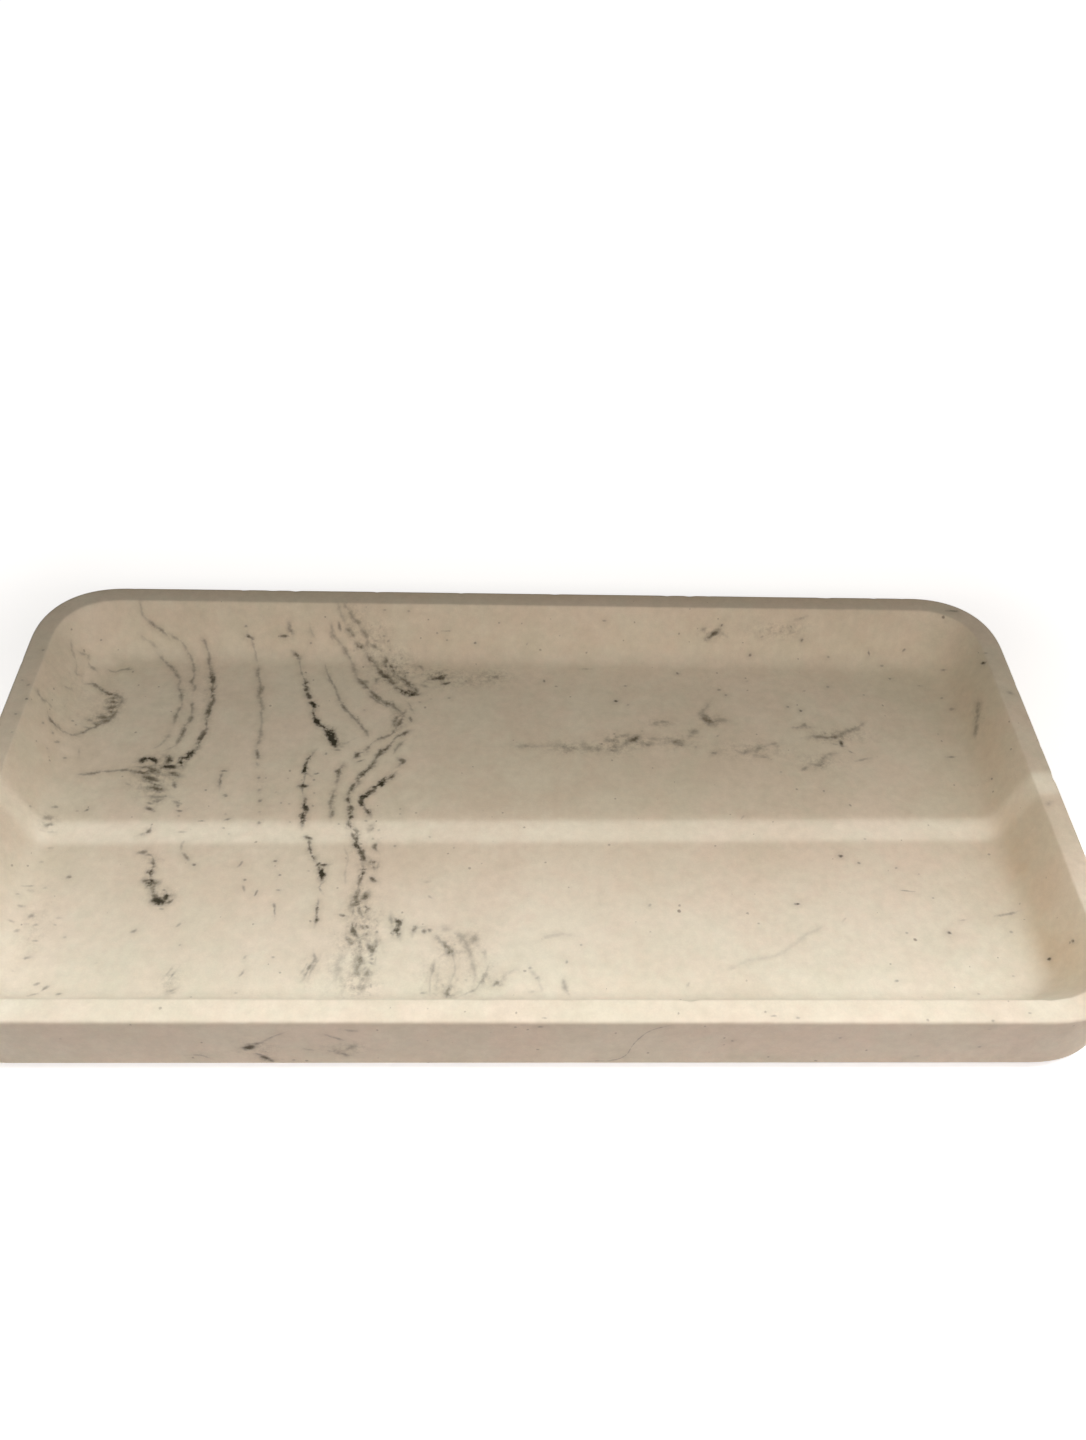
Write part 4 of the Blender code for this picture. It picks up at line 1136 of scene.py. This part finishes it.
def seat_of(x, y, floor):
    """The seat of a point of the floor's grid, given as shares of its half length and half width."""
    inset, _, corner = floor
    sides, straights, across = [], [], []
    for share, half in ((x, TRAY_LENGTH / 2 - inset), (y, TRAY_WIDTH / 2 - inset)):
        reach = abs(share) * half
        sides.append(math.copysign(1, share))
        straights.append(min(reach / (half - corner), 1))
        across.append(max(0, (reach - half + corner) / corner))
    p, q = (min(1, value) for value in across)
    root = 1 / CORNER_POWER
    turned = (p * (1 - q**CORNER_POWER / 2) ** root, q * (1 - p**CORNER_POWER / 2) ** root)
    return Seat(Vector(sides), Vector(straights), Vector(turned))


def place_on(seat, course):
    """The point of a seat on a course."""
    inset, height, corner = course
    x, y = (
        seat.side[axis] * ((half - inset - corner) * seat.straight[axis] + corner * seat.turned[axis])
        for axis, half in enumerate((TRAY_LENGTH / 2, TRAY_WIDTH / 2))
    )
    return Vector((x, y, TRAY_LOW.z + height))


def next_course(shell, edges, seats, course):
    """Extrudes the open edges and moves the new ring to its course."""
    grown = bmesh.ops.extrude_edge_only(shell, edges=edges)["geom"]
    new_edges = [part for part in grown if isinstance(part, bmesh.types.BMEdge) and part.is_boundary]
    new_verts = {vert for edge in new_edges for vert in edge.verts}
    for vert in new_verts:
        seats[vert] = next(
            seats[edge.other_vert(vert)] for edge in vert.link_edges if edge.other_vert(vert) not in new_verts
        )
        vert.co = place_on(seats[vert], course)
    return new_edges


def tray_shell(tray):
    """The cast tray as a closed shell: a grid for the floor, then one course after another to the base."""
    courses = tray_courses(tray)
    floor = courses[0]
    shell = bmesh.new()
    columns = round((TRAY_LENGTH - 2 * floor[0]) / tray.mesh_step)
    rows = round((TRAY_WIDTH - 2 * floor[0]) / tray.mesh_step)
    bmesh.ops.create_grid(shell, x_segments=columns, y_segments=rows, size=1)
    seats = {vert: seat_of(vert.co.x, vert.co.y, floor) for vert in shell.verts}
    for vert, seat in seats.items():
        vert.co = place_on(seat, floor)
    edges = [edge for edge in shell.edges if edge.is_boundary]
    for course in courses[1:]:
        edges = next_course(shell, edges, seats, course)
    bmesh.ops.edgeloop_fill(shell, edges=edges)
    bmesh.ops.recalc_face_normals(shell, faces=shell.faces)
    return shell


def weather(shell, tray):
    """Makes the casting slightly uneven and chips the rim's edges, always inwards."""
    shell.normal_update()
    verts = list(shell.verts)
    for vert in verts:
        if vert.co.z < TRAY_LOW.z + tray.base_edge_radius:
            continue
        wave = 0.5 + 0.5 * noise.noise(vert.co * (1 / SLOW_WAVE))
        ripple = 0.5 + 0.5 * noise.noise(vert.co * (1 / QUICK_WAVE))
        vert.co -= vert.normal * tray.waviness * (SLOW_SHARE * wave + QUICK_SHARE * ripple)
    least_rise, most_rise = CHIPPED_SLOPE
    lowest = TRAY_HIGH.z - CHIPPED_HEIGHT
    rim = [vert for vert in verts if least_rise < vert.normal.z < most_rise and vert.co.z > lowest]
    rim.sort(key=lambda vert: tuple(vert.co))
    tree = KDTree(len(verts))
    for index, vert in enumerate(verts):
        tree.insert(vert.co, index)
    tree.balance()
    dice = random.Random(CHIP_SEED)
    for _ in range(tray.chip_count):
        middle = dice.choice(rim).co.copy()
        radius = dice.uniform(*CHIP_RADII) * MM
        depth = tray.chip_depth * dice.uniform(*CHIP_DEPTHS) * radius / (CHIP_RADII[1] * MM)
        for _, index, away in tree.find_range(middle, radius):
            vert = verts[index]
            vert.co -= vert.normal * depth * (1 - (away / radius) ** 2)


# Laying the marbling on the mesh


class Canvas:
    """The tray's surface, ready for marks to be laid on it."""

    def __init__(self, mesh):
        count = len(mesh.vertices)
        self.mesh = mesh
        self.points = [vert.co.copy() for vert in mesh.vertices]
        self.normals = [vert.normal.copy() for vert in mesh.vertices]
        self.array = np.array(self.points)
        self.tree = KDTree(count)
        for index, point in enumerate(self.points):
            self.tree.insert(point, index)
        self.tree.balance()
        self.surface = BVHTree.FromPolygons(self.points, [tuple(face.vertices) for face in mesh.polygons])

    def behind(self, x, y):
        """The surface point and normal that the camera sees at a pixel of the photograph."""
        ray = CAMERA_TURN @ Vector((x - PHOTO_WIDTH / 2, PHOTO_HEIGHT / 2 - y, -FOCAL_PIXELS))
        point, normal, _, _ = self.surface.ray_cast(CAMERA_PLACE, ray.normalized())
        if point is None:
            raise RuntimeError(f"the pixel {x}, {y} misses the tray")
        return point, normal

    def write(self, name, kind, values):
        """Adds an attribute with one value for each point of the mesh."""
        attribute = self.mesh.attributes.new(name, kind, "POINT")
        attribute.data.foreach_set("vector" if kind == "FLOAT_VECTOR" else "value", values.ravel())


def curved(route):
    """Pixels along a smooth curve through the route, each with its weight."""
    knots = [Vector(pixel if len(pixel) == 3 else (*pixel, 1.0)) for pixel in route]
    knots = [2 * knots[0] - knots[1], *knots, 2 * knots[-1] - knots[-2]]
    pixels = []
    for before, start, end, after in zip(knots, knots[1:], knots[2:], knots[3:]):
        steps = max(1, round((end - start).length / ROUTE_STEP))
        for step in range(steps):
            t = step / steps
            pixels.append(0.5 * (
                2 * start + (end - before) * t + (2 * before - 5 * start + 4 * end - after) * t**2
                + (3 * start - before - 3 * end + after) * t**3))
    return [*pixels, knots[-2]]


class Sample(NamedTuple):
    """A place on a route: the point, the way along, the distance from the start, and the weight."""

    point: Vector
    way: Vector
    along: float
    weight: float


def traced(canvas, route):
    """Samples of a route on the tray's surface."""
    pixels = curved(route)
    points = [canvas.behind(pixel.x, pixel.y)[0] for pixel in pixels]
    samples, along = [], 0.0
    for index, point in enumerate(points):
        ahead, back = points[min(index + 1, len(points) - 1)], points[max(index - 1, 0)]
        along += (point - back).length if index else 0.0
        samples.append(Sample(point, (ahead - back).normalized(), along, max(0.1, pixels[index].z)))
    return samples


def fade(away, reach):
    """1 near a route's middle, going smoothly to 0 at its reach."""
    share = min(1.0, max(0.0, (reach - away) / (reach * (1 - FULL_SHARE))))
    return share * share * (3 - 2 * share)


def closeness(away):
    """1 at a vein's or mark's middle, falling to 0 where its haze ends."""
    return max(0.0, 1.0 - away / HAZE_REACH) ** HAZE_POWER


def first_free(layers, points, reach):
    """The first layer whose marks all stay clear of these points, which it then takes in."""
    spots = np.array(points)
    for index, taken in enumerate(layers):
        if all(
            np.linalg.norm(other[:, None] - spots[None], axis=2).min() > reach + other_reach + CLEARANCE
            for other, other_reach in taken
        ):
            taken.append((spots, reach))
            return index
    raise RuntimeError("the marbling needs another layer")


def empty_layers(canvas, layers, across):
    """Values of so many layers, with every point far across from any vein or mark."""
    values = np.zeros((layers, len(canvas.points), 3), np.float32)
    values[:, :, across] = FAR_AWAY
    return values


def lay_veins(canvas, haze):
    """Writes the veins' layers: half widths across and strength; and adds their haze."""
    layers = [[] for _ in range(LINE_LAYERS)]
    values = empty_layers(canvas, LINE_LAYERS, 0)
    nearest = np.full((LINE_LAYERS, len(canvas.points)), LINE_REACH + CLEARANCE)
    for vein in VEINS.values():
        samples = traced(canvas, vein.route)
        layer = first_free(layers, [sample.point for sample in samples], LINE_REACH)
        length = samples[-1].along
        taper = min(LINE_TAPER, length / 3)
        for sample in samples:
            from_end = min(sample.along, length - sample.along)
            thin = min(1.0, END_STRENGTH + from_end / taper)
            half_width = vein.width * MM / 2 * sample.weight**WIDTH_POWER
            strength = vein.ink * thin * min(STRENGTH_LIMIT, sample.weight**STRENGTH_POWER)
            for _, index, away in canvas.tree.find_range(sample.point, LINE_REACH + CLEARANCE):
                haze[index] = max(haze[index], strength * vein.width * closeness(away))
                if away >= nearest[layer, index]:
                    continue
                nearest[layer, index] = away
                apart = canvas.points[index] - sample.point
                aside = canvas.normals[index].cross(sample.way)
                values[layer, index, :2] = (
                    apart.dot(aside) / half_width, strength * fade(away, LINE_REACH))
    for layer in range(LINE_LAYERS):
        canvas.write(f"line_{layer}", "FLOAT_VECTOR", values[layer])


def mark_strokes(canvas):
    """Every stroke and single mark as (its two ends, normal, full width, ink)."""
    for x, y, end_x, end_y, width, ink in STROKES:
        start, normal = canvas.behind(x, y)
        yield start, canvas.behind(end_x, end_y)[0], normal, width * MM, ink
    for x, y, length, width, angle, ink in MARKS:
        point, normal = canvas.behind(x, y)
        turn = math.radians(angle)
        ahead, _ = canvas.behind(x + math.cos(turn), y - math.sin(turn))
        half = (ahead - point).normalized() * max(length - width, 0.1) * MM / 2
        yield point - half, point + half, normal, width * MM, ink


def lay_marks(canvas, haze):
    """Writes the single marks' layers: half lengths along, half widths across, strength; adds haze."""
    layers = [[] for _ in range(MARK_LAYERS)]
    values = empty_layers(canvas, MARK_LAYERS, 1)
    nearest = np.full((MARK_LAYERS, len(canvas.points)), MARK_REACH + CLEARANCE)
    for start, end, normal, width, ink in mark_strokes(canvas):
        middle, way = (start + end) / 2, (end - start).normalized()
        half_length = (end - start).length / 2 + width / 2
        reach = half_length + MARK_REACH + CLEARANCE
        ends = [middle + way * (half_length - width / 2) * share for share in (-1, -0.5, 0, 0.5, 1)]
        layer = first_free(layers, ends, MARK_REACH)
        for _, index, away in canvas.tree.find_range(middle, reach):
            apart = canvas.points[index] - middle
            along, across = apart.dot(way), apart.dot(normal.cross(way))
            beyond = math.hypot(max(0.0, abs(along) - half_length + width / 2), across)
            haze[index] = max(haze[index], MARK_HAZE * ink * width / MM * closeness(beyond))
            if beyond < nearest[layer, index]:
                nearest[layer, index] = beyond
                values[layer, index] = (
                    along / half_length, across / (width / 2), ink * fade(beyond, MARK_REACH))
    for layer in range(MARK_LAYERS):
        canvas.write(f"mark_{layer}", "FLOAT_VECTOR", values[layer])


def lay_marbling(canvas):
    """Writes the veins, the single marks and the haze round both."""
    haze = np.zeros(len(canvas.points), np.float32)
    lay_veins(canvas, haze)
    lay_marks(canvas, haze)
    canvas.write("haze", "FLOAT", haze)


def lay_clouds(canvas, name, clouds):
    """Writes soft clouds as one strength."""
    total = np.zeros(len(canvas.points))
    for x, y, long_radius, cross_radius, strength in clouds:
        point, _ = canvas.behind(x, y)
        apart = (canvas.array - np.array(point)) / MM
        spread = (apart[:, 0] / long_radius) ** 2 + (apart[:, 1] ** 2 + apart[:, 2] ** 2) / cross_radius**2
        total = np.maximum(total, strength * np.exp(-spread))
    canvas.write(name, "FLOAT", total.astype(np.float32))


def lay_hidden_side(canvas, tray):
    """Writes 1 on the outer walls and the base where the photo doesn't show them."""
    values = np.zeros(len(canvas.points), np.float32)
    skin = 2 * tray.base_edge_radius
    for index, (point, normal) in enumerate(zip(canvas.points, canvas.normals)):
        if max(abs(point.x) - TRAY_LENGTH / 2, abs(point.y) - TRAY_WIDTH / 2) < -skin:
            continue
        if normal.z < -STEEP:
            values[index] = 1.0
        elif normal.z < STEEP:
            # The photo shows the front wall, so this rises from 0 to 1 round the front corners
            values[index] = min(1.0, max(0.0, normal.y - HIDDEN_FROM) / HIDDEN_RISE)
    canvas.write("hidden_side", "FLOAT", values)


def new_piece(name, shape, material):
    """A mesh object made from a bmesh, smooth, in place at the origin."""
    mesh = bpy.data.meshes.new(name)
    shape.to_mesh(mesh)
    shape.free()
    mesh.materials.append(material)
    mesh.shade_smooth()
    piece = bpy.data.objects.new(name, mesh)
    bpy.context.scene.collection.objects.link(piece)
    return piece


class TRAY_OT_cast_body(bpy.types.Operator):
    """Model the marbled cast body of the tray"""

    bl_idname = "vanity_tray.cast_body"
    bl_label = "Cast Body"

    def execute(self, context):
        tray = context.scene.vanity_tray
        shell = tray_shell(tray)
        weather(shell, tray)
        body = new_piece("cast_tray", shell, cast_stone_material(tray))
        canvas = Canvas(body.data)
        lay_marbling(canvas)
        lay_clouds(canvas, "smudge", SMUDGES)
        # Painted shade on the rear rim and side walls, and warm patches
        lay_clouds(canvas, "blush", PAINTED_SHADE_AND_WARM_PATCHES)
        lay_hidden_side(canvas, tray)
        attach(body, BODY)
        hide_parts("tray_body")
        return {"FINISHED"}


class TRAY_OT_stick_pads(bpy.types.Operator):
    """Give the pads their rubber and add the adhesive film above each"""

    bl_idname = "vanity_tray.stick_pads"
    bl_label = "Stick Pads"

    def execute(self, context):
        pads = context.scene.vanity_pads
        rubber = rubber_material("pad_rubber", pads.rubber, RUBBER_ROUGHNESS)
        film_finish = rubber_material("adhesive_film", pads.film, FILM_ROUGHNESS)
        for name in PAD_NODES:
            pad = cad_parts[name]
            pad.data.materials.clear()
            pad.data.materials.append(rubber)
            low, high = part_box(name)
            radius = (high.x - low.x) / 2 - pads.film_margin
            thickness = TRAY_LOW.z - high.z - 2 * pads.film_gap
            middle = ((low.x + high.x) / 2, (low.y + high.y) / 2, (high.z + TRAY_LOW.z) / 2)
            disc = bmesh.new()
            bmesh.ops.create_cone(
                disc, cap_ends=True, segments=FILM_SIDES, radius1=radius, radius2=radius, depth=thickness,
                matrix=Matrix.Translation(middle))
            film = new_piece(name.replace("pad", "film"), disc, film_finish)
            film.data.set_sharp_from_angle(angle=FILM_SMOOTH_ANGLE)
            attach(film, BODY)
        return {"FINISHED"}


def hang(name, lamp, power):
    """A rectangular lamp at its place, turned to its aim."""
    light = bpy.data.lights.new(name, "AREA")
    light.shape = "RECTANGLE"
    light.size, light.size_y = lamp.size
    light.energy = power
    light.color = lamp.tint
    light.spread = lamp.spread
    holder = bpy.data.objects.new(name, light)
    holder.location = lamp.place
    holder.rotation_euler = (Vector(lamp.aim) - Vector(lamp.place)).to_track_quat("-Z", "Y").to_euler()
    if lamp.turn:
        holder.rotation_euler.rotate(Euler(lamp.turn))
    holder.visible_camera = False
    bpy.context.scene.collection.objects.link(holder)


class TRAY_OT_set_stage(bpy.types.Operator):
    """Set the floor, the lamps, the world and the camera"""

    bl_idname = "vanity_tray.set_stage"
    bl_label = "Set Stage"

    def execute(self, context):
        stage = context.scene.vanity_stage
        self.set_floor(stage)
        self.set_world(stage)
        for name, lamp in LAMPS.items():
            hang(name, lamp, getattr(stage, lamp.power))
        self.set_camera(context)
        context.scene.view_settings.view_transform = "Standard"
        return {"FINISHED"}

    def seen_by(self, bench):
        """1 for rays that show the background: straight from the camera, or by way of gloss or glass."""
        path = bench.add("ShaderNodeLightPath").outputs
        seen = bench.math("MAXIMUM", path["Is Camera Ray"], path["Is Glossy Ray"])
        return bench.math("MAXIMUM", seen, path["Is Transmission Ray"])

    def set_floor(self, stage):
        """A pale floor that takes the tray's shadow, and shows as the background colour further out."""
        shape = bmesh.new()
        bmesh.ops.create_grid(shape, x_segments=FLOOR_CELLS, y_segments=FLOOR_CELLS, size=FLOOR_REACH)
        made, shader, bench = new_material("studio_floor", 0.9, level=0.0)
        shader.inputs["Base Color"].default_value = colour([stage.floor_tone] * 3)
        shader.inputs["Emission Color"].default_value = colour(stage.background)
        from_middle = bench.vector("ABSOLUTE", bench.add("ShaderNodeTexCoord").outputs["Object"])
        apart = bench.vector("SUBTRACT", from_middle, (TRAY_LENGTH / 2, TRAY_WIDTH / 2, 0.0))
        away = bench.vector("LENGTH", bench.vector("MAXIMUM", apart, (0.0, 0.0, 0.0)))
        glow = bench.ease(away, 0.0, stage.glow_reach, stage.floor_glow, stage.far_glow)
        bench.feed(shader.inputs["Emission Strength"], bench.math("MULTIPLY", glow, self.seen_by(bench)))
        floor = new_piece("studio_floor", shape, made)

    def set_world(self, stage):
        """Even light from all round, and the background colour where the camera sees the world."""
        world = bpy.data.worlds.new("studio")
        bpy.context.scene.world = world
        world.use_nodes = True
        bench = Bench(world.node_tree)
        light = world.node_tree.nodes["Background"]
        light.inputs["Color"].default_value = colour(stage.ambient)
        light.inputs["Strength"].default_value = 1.0
        shown = bench.add("ShaderNodeBackground", colour(stage.background), 1.0)
        both = bench.add("ShaderNodeMixShader", self.seen_by(bench), light.outputs[0], shown.outputs[0])
        bench.feed(world.node_tree.nodes["World Output"].inputs["Surface"], both.outputs[0])

    def set_camera(self, context):
        """The camera that took the photograph."""
        data = bpy.data.cameras.new("photo_camera")
        data.sensor_width = SENSOR
        data.lens = FOCAL_PIXELS / PHOTO_HEIGHT * SENSOR
        data.clip_start, data.clip_end = CLIP_RANGE
        camera = bpy.data.objects.new("photo_camera", data)
        camera.matrix_world = Matrix.Translation(CAMERA_PLACE) @ CAMERA_TURN.to_4x4()
        context.scene.collection.objects.link(camera)
        context.scene.camera = camera


class TRAY_PT_panel(bpy.types.Panel):
    """Lists the tray's settings and steps"""

    bl_idname = "TRAY_PT_panel"
    bl_label = "Vanity Tray"
    bl_space_type = "VIEW_3D"
    bl_region_type = "UI"
    bl_category = "Vanity Tray"

    def draw(self, context):
        for settings, step in (
            (context.scene.vanity_tray, "vanity_tray.cast_body"),
            (context.scene.vanity_pads, "vanity_tray.stick_pads"),
            (context.scene.vanity_stage, "vanity_tray.set_stage"),
        ):
            column = self.layout.column()
            for name in settings.__annotations__:
                column.prop(settings, name)
            column.operator(step)


CLASSES = (
    TraySettings, PadSettings, StageSettings,
    TRAY_OT_cast_body, TRAY_OT_stick_pads, TRAY_OT_set_stage, TRAY_PT_panel,
)


def register():
    for made in CLASSES:
        bpy.utils.register_class(made)
    bpy.types.Scene.vanity_tray = bpy.props.PointerProperty(type=TraySettings)
    bpy.types.Scene.vanity_pads = bpy.props.PointerProperty(type=PadSettings)
    bpy.types.Scene.vanity_stage = bpy.props.PointerProperty(type=StageSettings)


def unregister():
    del bpy.types.Scene.vanity_tray
    del bpy.types.Scene.vanity_pads
    del bpy.types.Scene.vanity_stage
    for made in reversed(CLASSES):
        bpy.utils.unregister_class(made)


def main():
    register()
    bpy.ops.vanity_tray.set_stage()
    bpy.ops.vanity_tray.cast_body()
    bpy.ops.vanity_tray.stick_pads()


if __name__ == "__main__":
    main()
